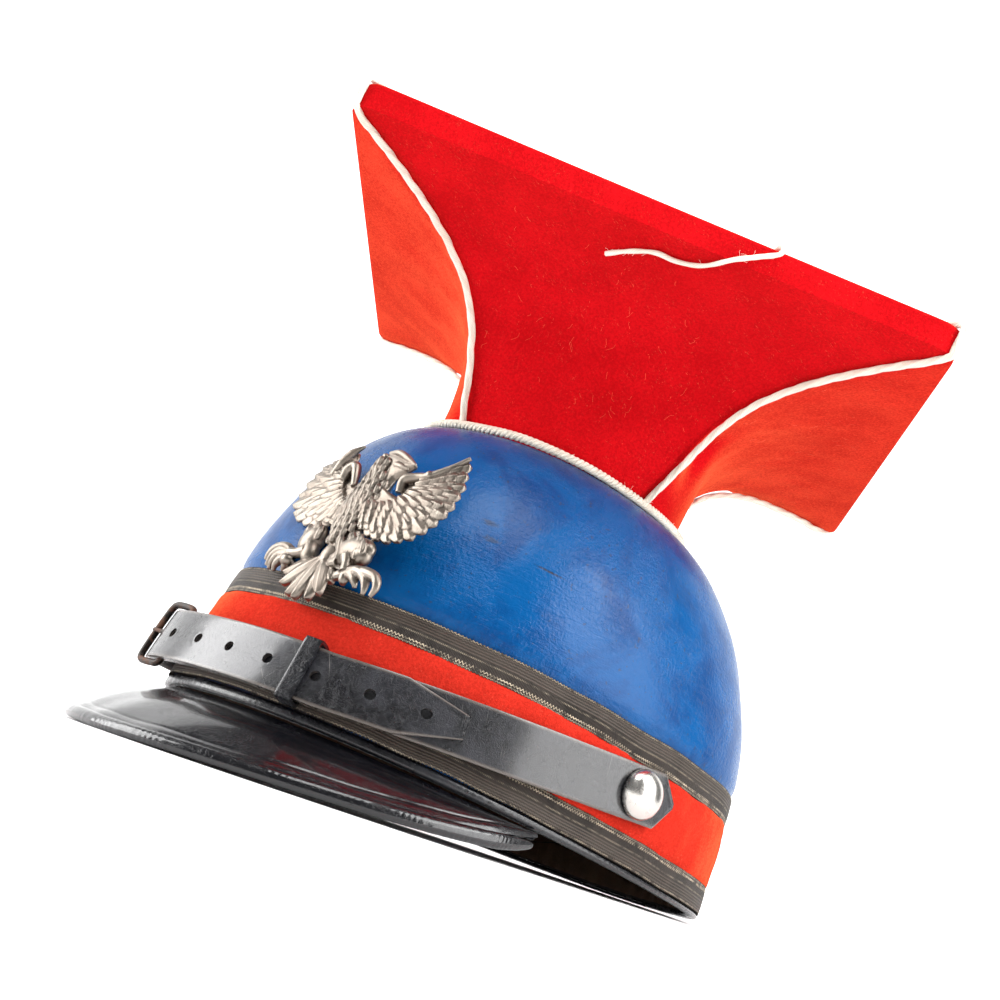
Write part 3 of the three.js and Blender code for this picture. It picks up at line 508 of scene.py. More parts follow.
class Value:
    """An output of a shader node. Arithmetic with it adds the nodes that work the result out."""

    def __init__(self, tree, socket):
        self.tree, self.socket = tree, socket

    def __add__(self, other):
        return maths("ADD", self, other)

    def __sub__(self, other):
        return maths("SUBTRACT", self, other)

    def __rsub__(self, other):
        return maths("SUBTRACT", other, self)

    def __mul__(self, other):
        return maths("MULTIPLY", self, other)

    def __truediv__(self, other):
        return maths("DIVIDE", self, other)

    def __rtruediv__(self, other):
        return maths("DIVIDE", other, self)

    def __abs__(self):
        return maths("ABSOLUTE", self)


def feed(tree, node, inputs):
    """Gives a node its inputs: the output of another node is linked, and anything else is set."""
    for key, given in inputs.items():
        if isinstance(given, Value):
            tree.links.new(given.socket, node.inputs[key])
        else:
            node.inputs[key].default_value = given


def add(tree, kind, inputs=None, **attributes):
    node = tree.nodes.new(kind)
    for key, setting in attributes.items():
        setattr(node, key, setting)
    feed(tree, node, inputs or {})
    return node


def output(tree, kind, inputs=None, key=0, **attributes):
    """One output of a new node."""
    return Value(tree, add(tree, kind, inputs, **attributes).outputs[key])


def maths(operation, *values):
    tree = next(value.tree for value in values if isinstance(value, Value))
    return output(tree, "ShaderNodeMath", dict(enumerate(values)), operation=operation)


def highest(value, *others):
    for other in others:
        value = maths("MAXIMUM", value, other)
    return value


def between(value, low, high):
    """0 below low and 1 above high, eased."""
    inputs = {"Value": value, "From Min": low, "From Max": high}
    return output(value.tree, "ShaderNodeMapRange", inputs, "Result", interpolation_type="SMOOTHSTEP")


def blend(factor, a, b):
    return output(factor.tree, "ShaderNodeMix", {0: factor, 6: a, 7: b}, 2, data_type="RGBA")


def noise(vector, scale, detail=3, roughness=0.55, distortion=0.0):
    inputs = {"Vector": vector, "Scale": scale, "Detail": detail}
    inputs |= {"Roughness": roughness, "Distortion": distortion}
    return output(vector.tree, "ShaderNodeTexNoise", inputs, "Fac")


def stretched(vector, scale, turn=(0, 0, 0), move=(0, 0, 0)):
    inputs = {"Vector": vector, "Scale": scale, "Rotation": turn, "Location": move}
    return output(vector.tree, "ShaderNodeMapping", inputs)


def resized(vector, size):
    """The vector from which an effect gets marks of another size."""
    return output(vector.tree, "ShaderNodeVectorMath", {0: vector, "Scale": 1 / size}, operation="SCALE")


def x_and_y(vector):
    outputs = add(vector.tree, "ShaderNodeSeparateXYZ", {0: vector}).outputs
    return Value(vector.tree, outputs[0]), Value(vector.tree, outputs[1])


def relief(height, distance, strength):
    inputs = {"Height": height, "Distance": distance, "Strength": strength}
    return output(height.tree, "ShaderNodeBump", inputs)


# ------------------------------------------------------------------ effects that several finishes share

# The kinds of the sockets that don't hold plain numbers.
SOCKET_KINDS = {"vector": "NodeSocketVector"} | dict.fromkeys(("cloth", "fibre", "colour"), "NodeSocketColor")


def effect(maker, **inputs):
    """The outputs of a node group for these inputs. Its maker lays the group out on its first use."""
    title = maker.__name__.replace("_", " ").title()
    group = bpy.data.node_groups.get(title) or new_group(title, maker, inputs)
    tree = inputs["vector"].tree
    outputs = add(tree, "ShaderNodeGroup", inputs, node_tree=group).outputs
    return {socket.name: Value(tree, socket) for socket in outputs}


def new_group(title, maker, keys):
    group = bpy.data.node_groups.new(title, "ShaderNodeTree")

    def open_sockets(names, way):
        for name in names:
            kind = SOCKET_KINDS.get(name, "NodeSocketFloat")
            group.interface.new_socket(name, in_out=way, socket_type=kind)

    open_sockets(keys, "INPUT")
    given = add(group, "NodeGroupInput").outputs
    results = maker(**{key: Value(group, given[key]) for key in keys})
    open_sockets(results, "OUTPUT")
    add(group, "NodeGroupOutput", results)
    return group


def wool_nap(vector, cloth, fibre, mottling):
    """Felted cloth: clouds in the nap, fine mottling and short pale fibres that lie on top."""
    clouds = noise(vector, 45, 3, 0.6)
    fine = noise(vector, 1150, 4, 0.75)
    specks = noise(vector, 2600, 2, 0.6)
    shade = between(clouds * 0.6 + fine * 1.4, 0.78, 1.22)
    dark = blend(mottling, cloth, (0.10, 0.0, 0.0, 1))
    lines = []
    for turn, seed in ((0.4, 0.0), (1.5, 3.1), (2.5, 7.7)):
        lie = stretched(vector, (1700, 260, 1100), (turn, turn * 0.7, turn), (seed, seed, 0))
        lines.append(between(noise(lie, 1.0, 1, 0.4, 1.6), 0.7, 0.76))
    fibres = highest(*lines) * between(noise(vector, 160, 2, 0.5), 0.35, 0.7)
    return {
        "colour": blend(fibres * 0.3, blend(shade, dark, cloth), fibre),
        "height": fine * 0.7 + specks * 0.3 + fibres * 0.5,
        "shade": highest(shade, fibres),
    }


def leather_grain(vector, size):
    """Pores and fine creases of leather."""
    vector = resized(vector, size)
    inputs = {"Vector": vector, "Scale": 1500}
    cells = output(vector.tree, "ShaderNodeTexVoronoi", inputs, "Distance", feature="DISTANCE_TO_EDGE")
    creases = between(abs(noise(vector, 380, 3, 0.6, 0.8) - 0.5), 0.0, 0.05)
    return {"height": between(cells, 0.0, 0.25) * 0.4 + creases * 0.6, "creases": 1 - creases}


def fine_scratches(vector, amount):
    """Thin scratches that run mostly one way."""
    lines = []
    for turn, seed in ((0.15, 0.0), (-0.35, 5.0), (0.8, 9.0), (1.4, 2.0)):
        lie = stretched(vector, (60, 2600, 60), (0, 0, turn), (seed, seed, seed))
        lines.append(between(noise(lie, 1.0, 2, 0.5, 0.3), 0.72, 0.78))
    patches = between(noise(vector, 70, 2), 0.45, 0.7)
    return {"scratches": highest(*lines) * patches * amount}


def age_marks(vector, size):
    """Patches of grime and rubbed places, large and small."""
    vector = resized(vector, size)
    patches = between(noise(vector, 60, 5, 0.65, 0.5), 0.42, 0.68)
    return {"patches": patches, "specks": between(noise(vector, 800, 2, 0.5), 0.66, 0.72)}


def yarn_twist(vector, pitch):
    """Fine yarns that run slantwise round a cord, on its own UV map in metres."""
    along, around = x_and_y(vector)
    phase = (along * 1000 + around * 1400) / pitch * TURN
    ridge = maths("SINE", phase + noise(vector, 1800, 3, 0.6) * 2.5) * 0.5 + 0.5
    return {"height": ridge, "gaps": between(ridge, 0.3, 0.0)}


# ------------------------------------------------------------------ finishes

# Each finish works its shader's inputs out from mappings in metres: its object's own space and UV map.


def new_material(name, lay_look):
    material = bpy.data.materials.new(name)
    material.use_nodes = True
    tree = material.node_tree
    tree.nodes.clear()
    places = add(tree, "ShaderNodeTexCoord").outputs
    inputs = lay_look(Value(tree, places["Object"]), Value(tree, places["UV"]))
    shader = output(tree, "ShaderNodeBsdfPrincipled", inputs)
    add(tree, "ShaderNodeOutputMaterial", {"Surface": shader}, is_active_output=True)
    return material


def rgb(colour, times=(1, 1, 1)):
    """A colour with each part changed by a factor, as a shader takes it."""
    return (*(part * factor for part, factor in zip(colour, times)), 1)


def felt(solid, cloth, fibre):
    """Felted wool. Where it is seen from the side its colour turns more orange: a painted sheen, as of a nap
    that catches the light.
    """
    nap = effect(wool_nap, vector=solid, cloth=rgb(cloth), fibre=rgb(fibre), mottling=0.35)
    marks = effect(age_marks, vector=solid, size=1.6)
    colour = blend(marks["patches"] * 0.22, nap["colour"], rgb(cloth, (0.62, 0.4, 0.4)))
    # Painted sheen: the base colour turns to a mottled orange where the cloth is seen from the side.
    aside = output(solid.tree, "ShaderNodeLayerWeight", {"Blend": 0.5}, "Facing")
    glow = blend(nap["shade"], (0.58, 0.05, 0.022, 1), (0.93, 0.15, 0.055, 1))
    return {
        "Base Color": blend(between(aside, 0.45, 1.0) * 0.75, colour, glow),
        "Roughness": 1.0,
        "Specular IOR Level": 0.0,
        "Sheen Weight": 0.12,
        "Sheen Roughness": 0.4,
        "Sheen Tint": (1.0, 0.22, 0.08, 1),
        "Normal": relief(nap["height"], 0.5 * MM, 0.8),
    }


# Scuffs of the paint: places along and up the skull's own map and sizes, in metres, and strengths.
SKULL_SCUFFS = [
    {"along": 0.070, "up": 0.0487, "length": 0.0075, "height": 0.0007, "strength": 1.0},
    {"along": 0.0495, "up": 0.0567, "length": 0.0038, "height": 0.002, "strength": 0.6},
    {"along": 0.0520, "up": 0.0505, "length": 0.0038, "height": 0.002, "strength": 0.6},
]


def painted_skull(solid, uv, colour):
    """Glossy oil paint over canvas: brush marks that run round the helmet, rubbed places and a few chips."""
    marks = effect(age_marks, vector=solid, size=1.5)
    paint = blend(marks["patches"], rgb(colour), rgb(colour, (0.5, 0.6, 0.7)))
    paint = blend(marks["specks"] * 0.5, paint, (0.03, 0.035, 0.05, 1))
    along, up = x_and_y(uv)
    for scuff in SKULL_SCUFFS:
        run, rise = (along - scuff["along"]) / scuff["length"], (up - scuff["up"]) / scuff["height"]
        mask = between(run * run + rise * rise + noise(uv, 900, 4, 0.7) * 1.6, 1.5, 0.7)
        paint = blend(mask * scuff["strength"], paint, (0.02, 0.022, 0.03, 1))
    # A dark purple band near the top of the skull, under the rope: partly dirt and partly a painted
    # reflection of the red crown.
    paint = blend(between(up, 0.105, 0.138) * 0.6, paint, (0.045, 0.028, 0.10, 1))
    strokes = noise(stretched(uv, (240, 700, 1), (0, 0, 0.3)), 1.0, 4, 0.6, 1.2)
    canvas = noise(stretched(uv, (1100, 500, 1)), 1.0, 2, 0.5, 0.6)
    patch = between(noise(uv, 22, 2), 0.4, 0.62) * 0.7 + 0.3
    bump = relief((strokes + canvas * 0.9) * patch + noise(solid, 28, 2) * 1.6, 0.45 * MM, 0.8)
    return {
        "Base Color": paint,
        "Roughness": marks["patches"] * 0.1 + 0.26,
        "Specular IOR Level": 0.03,
        "Coat Weight": 0.3,
        "Coat Roughness": 0.1,
        "Normal": bump,
        "Coat Normal": bump,
    }


def white_textile(solid, uv, colour):
    """Twisted cotton yarn, with painted shade between its turns and grime in patches."""
    yarn = effect(yarn_twist, vector=uv, pitch=1.2)
    marks = effect(age_marks, vector=solid, size=0.6)
    grime_and_shade = rgb(colour, (0.55, 0.46, 0.34))
    return {
        # Painted shade darkens the gaps between the yarn's turns; grime darkens random patches.
        "Base Color": blend(marks["patches"] * 0.22, blend(yarn["gaps"] * 0.3, rgb(colour), grime_and_shade), grime_and_shade),
        "Roughness": 0.9,
        "Specular IOR Level": 0.15,
        "Sheen Weight": 0.3,
        "Normal": relief(yarn["height"], 0.3 * MM, 0.7),
    }


def metal_lace(solid, uv, thread, gilt):
    """Tarnished lace: smooth lengthwise ribs below, a row of pale picots and a zigzag near the upper edge."""
    along, up = (part * 1000 for part in x_and_y(uv))

    def stripe(low, high):
        return between(up, low, low + 0.25) * between(up, high, high - 0.25)

    def waves(value, length):
        return maths("SINE", value * (TURN / length)) * 0.5 + 0.5

    ribs, weft = waves(up, 0.95) * stripe(0.8, 4.6), waves(along, 0.5)
    saw = maths("PINGPONG", along, 0.6)
    zigzag = between(abs(saw * 1.3 + 7.7 - up), 0.36, 0.1) * stripe(7.4, 8.9)
    dots = between(abs(saw - 0.3), 0.22, 0.05) * (stripe(4.9, 5.7) * 0.45)
    edge = stripe(0.0, 0.7) + stripe(8.8, 9.5)
    marks = effect(age_marks, vector=solid, size=0.7)
    tarnish = blend(marks["patches"], rgb(thread), rgb(thread, (0.4, 0.38, 0.36)))
    lit = highest(zigzag, dots, edge * weft) * between(noise(solid, 300, 3, 0.6), 0.3, 0.62)
    colour = blend(ribs * 0.5, tarnish, (0.12, 0.095, 0.075, 1))
    height = ribs * 0.8 + lit + weft * (1 - stripe(0.8, 4.6)) * 0.5
    return {
        "Base Color": blend(lit, colour, rgb(gilt)),
        "Metallic": lit * 0.3 + 0.1,
        "Roughness": 0.55,
        "Specular IOR Level": 0.3,
        "Normal": relief(height, 0.3 * MM, 0.9),
    }


def leather(solid, uv, colour, rubbed, gloss, depth, grain=1.0, coat=0.0, scratches=0.3, cut_edge=None):
    """Worn leather. A strap's map runs round it, so the colour of its cut edge lies on both narrow sides."""
    skin = effect(leather_grain, vector=solid, size=grain)
    marks = effect(age_marks, vector=solid, size=1.0)
    lines = effect(fine_scratches, vector=solid, amount=scratches)["scratches"]
    shade = blend(marks["patches"] * 0.6, rgb(colour), rgb(rubbed))
    shade = blend(skin["creases"] * 0.3, shade, rgb(rubbed))
    shade = blend(lines, shade, (0.30, 0.28, 0.26, 1))
    if cut_edge:
        around = maths("PINGPONG", x_and_y(uv)[1], STRAP_WIDTH / 2)
        shade = blend(between(around, 0.27 * STRAP_WIDTH, 0.24 * STRAP_WIDTH), shade, rgb(cut_edge))
    return {
        "Base Color": shade,
        "Roughness": marks["patches"] * 0.12 + gloss + lines * 0.3,
        "Specular IOR Level": 0.3,
        "Coat Weight": coat,
        "Coat Roughness": 0.7 * gloss,
        "Normal": relief(skin["height"] - lines, depth, 0.6),
    }


def cast_metal(solid, colour, hollow, tip, gloss, pitting):
    """Cast white metal: dark and warm in its hollows, worn bright where it stands out."""
    stands_out = output(solid.tree, "ShaderNodeNewGeometry", key="Pointiness")
    marks = effect(age_marks, vector=solid, size=0.5)
    lines = effect(fine_scratches, vector=solid, amount=0.5)["scratches"]
    shade = blend(between(stands_out, 0.40, 0.56), rgb(hollow), rgb(colour))
    return {
        "Base Color": blend(marks["patches"] * 0.3, shade, rgb(tip)),
        "Metallic": 1.0,
        "Roughness": marks["patches"] * 0.15 + gloss + lines * 0.2,
        "Normal": relief(noise(solid, 1600, 3, 0.6) - lines, pitting, 0.5),
    }


def rusty_wire(solid, colour):
    rust = effect(age_marks, vector=solid, size=0.25)["patches"]
    return {
        "Base Color": blend(rust, rgb(colour), (0.12, 0.05, 0.025, 1)),
        "Metallic": rust * -0.7 + 0.9,
        "Roughness": rust * 0.4 + 0.38,
        "Normal": relief(noise(solid, 1500, 4, 0.65), 0.15 * MM, 0.7),
    }


def plain_floor(solid, colour, glow):
    """Matt paper. Far from the helmet it is lit by itself, as paper with its own lamps is."""
    away = output(solid.tree, "ShaderNodeVectorMath", {0: solid}, "Value", operation="LENGTH")
    return {
        "Base Color": blend(noise(solid, 2.0), rgb(colour), rgb(colour, (0.985, 0.985, 0.985))),
        "Emission Color": (1, 1, 1, 1),
        "Emission Strength": between(away, 0.35, 2.2) * glow,
        "Roughness": 0.8,
    }


# ------------------------------------------------------------------ settings


def colour_property(name, description, default):
    limits = {"size": 3, "min": 0, "max": 1, "subtype": "COLOR"}
    return bpy.props.FloatVectorProperty(name=name, description=description, default=default, **limits)


def length_property(name, description, default):
    form = {"unit": "LENGTH", "precision": 5}
    return bpy.props.FloatProperty(name=name, description=description, default=default, **form)


class HelmetColours(bpy.types.PropertyGroup):
    """Colours of the helmet's finishes."""

    paint: colour_property("Skull paint", "Oil paint of the skull", (0.0008, 0.073, 0.24))
    cloth: colour_property("Cloth", "Wool cloth of the crown", (0.62, 0.006, 0.010))
    # The band's cloth is a more orange copy of the crown's cloth: painted light, for the stronger light that
    # falls on the upward-facing band.
    band_cloth: colour_property("Band cloth", "Wool cloth of the band, which has faded", (0.60, 0.032, 0.018))
    fibre: colour_property("Fibres", "Pale fibres that lie on the cloth", (0.95, 0.16, 0.09))
    cord: colour_property("Cord", "Piping, rope and loose cord", (0.93, 0.87, 0.75))
    lace_thread: colour_property("Lace thread", "Ground of the tarnished lace", (0.034, 0.026, 0.021))
    lace_gilt: colour_property("Lace metal", "Metal thread that still shows", (0.62, 0.52, 0.38))
    leather: colour_property("Black leather", "Straps and bindings", (0.003, 0.003, 0.0045))
    brown: colour_property("Brown leather", "Gathered leather at the rear", (0.11, 0.055, 0.03))
    lining: colour_property("Lining", "Inner face of the skull", (0.035, 0.025, 0.02))
    metal: colour_property("White metal", "Cast badge", (0.29, 0.255, 0.215))
    polish: colour_property("Polished metal", "Buttons", (0.78, 0.76, 0.72))
    iron: colour_property("Iron", "Wire of the buckle", (0.035, 0.03, 0.027))


class HelmetSizes(bpy.types.PropertyGroup):
    """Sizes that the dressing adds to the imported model."""

    rope_pitch: length_property("Rope pitch", "Length of one whole turn of the rope's strands", 5.8 * MM)
    cloth_wave: length_property("Cloth wave", "How far the cloth wanders from its smooth form", 0.35 * MM)
    roll: length_property("Roll", "How far the cloth of the sides rolls over the top", 5 * MM)
    peak_stitching: length_property("Peak stitching", "Distance of the stitching from the bead", 2.4 * MM)
    feather_voxel: length_property("Casting grain", "Cell size that fuses the badge's parts", 0.345 * MM)
    fibre_length: length_property("Fibre length", "Length of the longest loose fibres", 5 * MM)


# What each finish is made of, from the colours of the settings and the two mappings.
FINISHES = {
    "skull_paint": lambda c, solid, uv: painted_skull(solid, uv, c.paint),
    "red_cloth": lambda c, solid, uv: felt(solid, c.cloth, c.fibre),
    "band_cloth": lambda c, solid, uv: felt(solid, c.band_cloth, c.fibre),
    "cloth_lint": lambda c, solid, uv: felt(solid, c.fibre, c.fibre),
    "white_cord": lambda c, solid, uv: white_textile(solid, uv, c.cord),
    "lace": lambda c, solid, uv: metal_lace(solid, uv, c.lace_thread, c.lace_gilt),
    "black_leather": lambda c, solid, uv: leather(
        solid, uv, c.leather, rubbed=(0.014, 0.015, 0.02), gloss=0.22, depth=0.16 * MM, coat=0.6
    ),
    # The strap's rubbed colour is partly wear and partly a painted sheen: a pale bluish tone in patches and
    # creases.
    "strap_leather": lambda c, solid, uv: leather(
        solid, uv, c.leather, rubbed=(0.028, 0.029, 0.037), gloss=0.27, depth=0.22 * MM, coat=1.0,
        scratches=0.5, cut_edge=(0.085, 0.07, 0.06),
    ),
    "patent_leather": lambda c, solid, uv: leather(
        solid, uv, c.leather, rubbed=(0.004, 0.004, 0.006), gloss=0.16, depth=0.14 * MM, grain=1.4, coat=0.8
    ),
    "brown_leather": lambda c, solid, uv: leather(
        solid, uv, c.brown, rubbed=(0.2, 0.11, 0.06), gloss=0.6, depth=0.25 * MM
    ),
    "lining": lambda c, solid, uv: leather(
        solid, uv, c.lining, rubbed=(0.07, 0.05, 0.035), gloss=0.7, depth=0.2 * MM, grain=1.2
    ),
    "white_metal": lambda c, solid, uv: cast_metal(
        solid, c.metal, hollow=(0.07, 0.052, 0.042), tip=(0.37, 0.30, 0.25), gloss=0.36, pitting=0.11 * MM
    ),
    "polished_metal": lambda c, solid, uv: cast_metal(
        solid, c.polish, hollow=(0.3, 0.27, 0.25), tip=(0.6, 0.57, 0.52), gloss=0.2, pitting=0.01 * MM
    ),
    "iron": lambda c, solid, uv: rusty_wire(solid, c.iron),
}


def finish(look):
    """The material of a finish, made once."""
    title = look.replace("_", " ").capitalize()
    colours = bpy.context.scene.helmet_colours
    return bpy.data.materials.get(title) or new_material(title, lambda *at: FINISHES[look](colours, *at))


def sizes():
    return bpy.context.scene.helmet_sizes


class Step:
    """A button of the panel that builds one piece or one group."""

    def execute(self, context):
        self.build()
        return {"FINISHED"}


WALL_LENGTH = 0.61
BRAID = {"width": 9.5 * MM, "thickness": 1.4 * MM, "lowest": GAP, "scallop": 1.25 * MM}
UPPER_BRAID_LOWEST = BRAID_TOP["height"] - BRAID["width"]
BAND_PADDING = 1.1 * MM
BINDING = {"inner": 4.3 * MM, "outer": 0.4 * MM}
LINING_OFFSET = -4.5 * MM
SKULL = {"thickness": 2.5 * MM, "under_braid": 1.7 * MM}
GUSSET = {"half_angle": 35, "plain_end": 5, "height": 20 * MM, "thickness": 1 * MM, "lowest": 0.6 * MM}
SWEATBAND = {"lowest": 0.6 * MM, "height": 30 * MM, "thickness": 1.2 * MM}


class HELMET_OT_skull(Step, bpy.types.Operator):
    """Build the painted skull, from behind the braids to under the waist rope"""

    bl_idname = "helmet.skull"
    bl_label = "Skull"

    def build(self):
        rows = 52
        low, top = 6 / rows, (rows - 1) / rows
        start = BRAID_TOP["height"] + 2 * GAP

        def place(u, v):
            climb = np.clip((v - low) / (top - low), 0, 1)
            domed = start + (WAIST["height"] - start) * np.sin(climb * math.pi / 2)
            height = np.where(v < low, GAP + (start - GAP) * v / low, domed)
            offset = -SKULL["under_braid"] * (1 - smooth(v, low * 0.9, low * 1.25))
            points = wall(360 * u, height, offset)
            lumps = wobble(points, 45 * MM, seed=4) * 0.3 * MM + wobble(points, 14 * MM, seed=6) * 0.06 * MM
            out = unit(points - stack(0, WAIST["centre_y"], points[..., 2]))
            shaped = moved(points, (out, lumps * smooth(v, low * 1.3, low * 2.5) * smooth(v, 0.99, 0.9)))
            tip = stack(0 * u, WAIST["centre_y"], WAIST["height"])
            return np.where((v > top + 0.001)[:, None], tip, shaped)

        skull = shell("skull_painted", 240, rows, place, (0.47, 0.14))
        skull.data.materials.append(finish("skull_paint"))
        skull.data.materials.append(finish("lining"))
        thicken(skull, SKULL["thickness"], material_offset=1, material_offset_rim=1)
        stand(skull, None, "skull", slot="skull_paint", angle=50)


def braid(name, lowest, node, turned=False):
    """Flat lace with small scallops along both edges. Its zigzag edge lies lowest when it is turned."""
    width, thickness = BRAID["width"], BRAID["thickness"]
    near, far = (width, 0) if turned else (0, width)
    corners = [(0, near), (0, far), (-thickness, far), (-thickness, near)]

    def place(u, v):
        offset, height = round_loop(corners, v)
        scallops = np.cos(TURN * u * round(WALL_LENGTH / BRAID["scallop"])) * 0.22 * MM
        middle = (height / width - 0.5) * 2
        cushion = (1 - middle**2) * 0.2 * MM * (offset > -0.1 * MM)
        wander = wobble(wall(360 * u, lowest + 0 * u), 30 * MM, seed=int(lowest / MM)) * 0.25 * MM
        return wall(360 * u, lowest + height + wander + scallops * middle, offset + cushion)

    stand(shell(name, 1856, 16, place, (WALL_LENGTH, 2 * (width + thickness))), "lace", node, angle=50)


class HELMET_OT_band(Step, bpy.types.Operator):
    """Build the band round the foot: two lengths of lace and the padded cloth between them"""

    bl_idname = "helmet.band"
    bl_label = "Band and lace"

    def build(self):
        braid("lace_lower", BRAID["lowest"], "braid_lower")
        braid("lace_upper", UPPER_BRAID_LOWEST, "braid_upper", turned=True)
        overlap, tuck, front = 0.4 * MM, 0.5 * MM, 0.72
        low, high = BRAID["lowest"] + BRAID["width"] - overlap, UPPER_BRAID_LOWEST + overlap

        def place(u, v):
            part = np.clip(v / front, 0, 1)
            back = np.clip((v - front) / (1 - front), 0, 1)
            height = low + (high - low) * np.where(v <= front, part, 1 - back)
            bulge = BAND_PADDING * np.sqrt(np.maximum(0, 1 - (2 * part - 1) ** 4)) - tuck
            base = wall(360 * u, height)
            ripples = wobble(base, 16 * MM, seed=9) * 0.3 * MM + wobble(base, 5 * MM, seed=10) * 0.1 * MM
            offset = np.where(v < front, bulge + ripples, -BRAID["thickness"])
            return wall(360 * u, height, np.where(v >= 0.999, -tuck, offset))

        piece = shell("band_of_cloth", 480, 28, place, (WALL_LENGTH, 50 * MM))
        stand(piece, "band_cloth", "band_cloth", slot="red_cloth", angle=60)


class HELMET_OT_foot(Step, bpy.types.Operator):
    """Build what edges and lines the foot: rim binding, sweatband and the gathered leather at the rear"""

    bl_idname = "helmet.foot"
    bl_label = "Binding and lining"

    def build(self):
        outer, inner = -BINDING["outer"], -BINDING["inner"]
        middle, half = (outer + inner) / 2, (outer - inner) / 2

        def binding(u, v):
            depth = binding_depth(360 * u)
            turn = TURN * v
            reach = squarish(turn, 3.2)
            arc = u * WALL_LENGTH
            puckers = np.sin(TURN * arc / (3.1 * MM) + 3 * np.sin(TURN * arc / (23 * MM))) * 0.03 * MM
            offset = middle + (half + puckers) * reach * np.cos(turn)
            height = -depth / 2 + (depth / 2 + puckers) * reach * np.sin(turn)
            return wall(360 * u, np.minimum(height, 0), offset)

        def gusset_top(angle):
            return GUSSET["height"] * (1 - np.abs(angle - 180) / GUSSET["half_angle"])

        def band(u, v):
            lowest = SWEATBAND["lowest"] + np.maximum(0, gusset_top(360 * u) + GAP)
            return wall(360 * u, lowest + (SWEATBAND["height"] - lowest) * v, LINING_OFFSET)

        def gathers(u, v):
            angle = 180 + (GUSSET["half_angle"] - GUSSET["plain_end"]) * (2 * u - 1)
            height = GUSSET["lowest"] + (gusset_top(angle) - GAP) * v
            folds = np.cos(TURN * 17 * u + 1.5 * np.sin(9 * u)) * 0.35 * MM * (0.4 + 0.6 * (1 - v))
            return wall(angle, height, LINING_OFFSET - GUSSET["thickness"] * 0.4 - GAP + folds)

        piece = shell("binding_of_rim", 1000, 16, binding, (WALL_LENGTH, 14 * MM))
        stand(piece, "black_leather", "rim_binding", angle=60)
        piece = shell("sweatband_leather", 240, 12, band, (WALL_LENGTH, 30 * MM))
        thicken(piece, SWEATBAND["thickness"])
        stand(piece, "brown_leather", "sweatband", slot="black_leather")
        piece = lay_out("gathered_leather", 200, 24, gathers, (90 * MM, 20 * MM))
        thicken(piece, GUSSET["thickness"] * 0.6, offset=0)
        stand(face_outwards(piece), "brown_leather", "rear_gusset")


CROWN_CLOTH = 2 * MM
RIDGES = {"front": 0, "left": 90, "rear": 180, "right": 270}
SIDES = {"front_left": 0, "rear_left": 90, "rear_right": 180, "front_right": 270}
TOP_INSET = (CROWN_CLOTH + GAP) * math.sqrt(2)


def over_the_edge(angle, clear):
    """Points that lead over the edge of the top at an angle: beside it, round it and above it."""
    edge = crown_profile(angle, 2.0)[0]
    diagonal = clear * math.sqrt(0.5)
    steps = ((clear, -clear), (clear, 0), (diagonal, diagonal), (0, clear), (-clear, clear))
    return [crown_place(angle, edge + out, TOP_HEIGHT + up, 1) for out, up in steps]


class HELMET_OT_crown(Step, bpy.types.Operator):
    """Build the four cloth sides of the crown and its flat top"""

    bl_idname = "helmet.crown"
    bl_label = "Crown cloth"

    def build(self):
        for seed, (side, ridge) in enumerate(SIDES.items(), start=20):
            self.side(f"cloth_{side}", ridge, f"crown_{side}", seed)

        def top(u, v):
            angle = 360 * u
            reach = (crown_profile(angle, 2.0 + 0 * u)[0] - TOP_INSET) * (1 - v)
            sag = -0.6 * MM * np.sin(math.pi * (1 - v)) - 0.3 * MM
            points = crown_place(angle, reach, TOP_HEIGHT + sag, 1)
            points[:, 2] += wobble(points, 40 * MM, seed=31) * 0.3 * MM
            return points

        piece = shell("cloth_top", 240, 24, top, (0.8, 0.15))
        thicken(piece, 2.6 * MM)
        stand(piece, "red_cloth", "crown_top")

    def side(self, name, ridge, node, seed):
        """One side: it climbs from the rope, flares out, stands up at the edge and rolls over the top."""
        wave = sizes().cloth_wave
        roll_radius = 1.6 * MM
        upright = 2 - roll_radius / CROWN["edge"]
        rolls_from, turns_for = 0.92, 0.4

        def place(u, v):
            climb = upright * np.clip(v / rolls_from, 0, 1) ** 0.9
            rolled = np.clip((v - rolls_from) / (1 - rolls_from), 0, 1)
            gap = np.degrees(0.15 * MM / crown_profile(ridge, climb)[0])
            angle = ridge + gap + (90 - 2 * gap) * u
            points = crown(angle, climb)
            ends = smooth(u, 0, 0.05) * smooth(1 - u, 0, 0.05)
            fine = wobble(points, 13 * MM, waves=12, seed=seed + 7) * wave * 0.25
            depth = wobble(points, 38 * MM, seed=seed) * wave + fine
            beside_seam = np.exp(-((np.minimum(u, 1 - u) * 90 / 2.2) ** 2)) * 0.5 * MM
            below_edge = 1 - smooth(climb, 0.9, 0.99)
            points = crown(angle, climb, (depth * ends * smooth(v, 0, 0.1) - beside_seam) * below_edge)
            reach = crown_profile(angle, climb)[0]
            turn = np.minimum(rolled / turns_for, 1) * math.pi / 2
            flat_part = np.clip((rolled - turns_for) / (1 - turns_for), 0, 1)
            inward = roll_radius * (1 - np.cos(turn)) + (sizes().roll - roll_radius) * flat_part
            bent = crown_place(angle, reach - inward, TOP_HEIGHT - roll_radius * (1 - np.sin(turn)), 1)
            return np.where((rolled > 0)[:, None], bent, points)

        piece = lay_out(name, 100, 100, place, (0.13, 0.12))
        face_towards(piece, outward(ridge + 45))
        apply(piece, "SOLIDIFY", thickness=CROWN_CLOTH * 0.8, offset=-1)
        stand(piece, "red_cloth", node, angle=60)


PIPING = {"radius": 1.3 * MM, "clearance": 0.1 * MM, "turns": 15, "groove": 0.42}
PIPING |= {"halfway": 70 * MM, "centre_gap": 3.5 * MM}
ROPE = {"radius": 1.4 * MM, "length": 0.325, "outset": 3.7 * MM, "rise": 1.2 * MM, "strands": 3}
ROPE |= {"strand": 0.76 * MM}


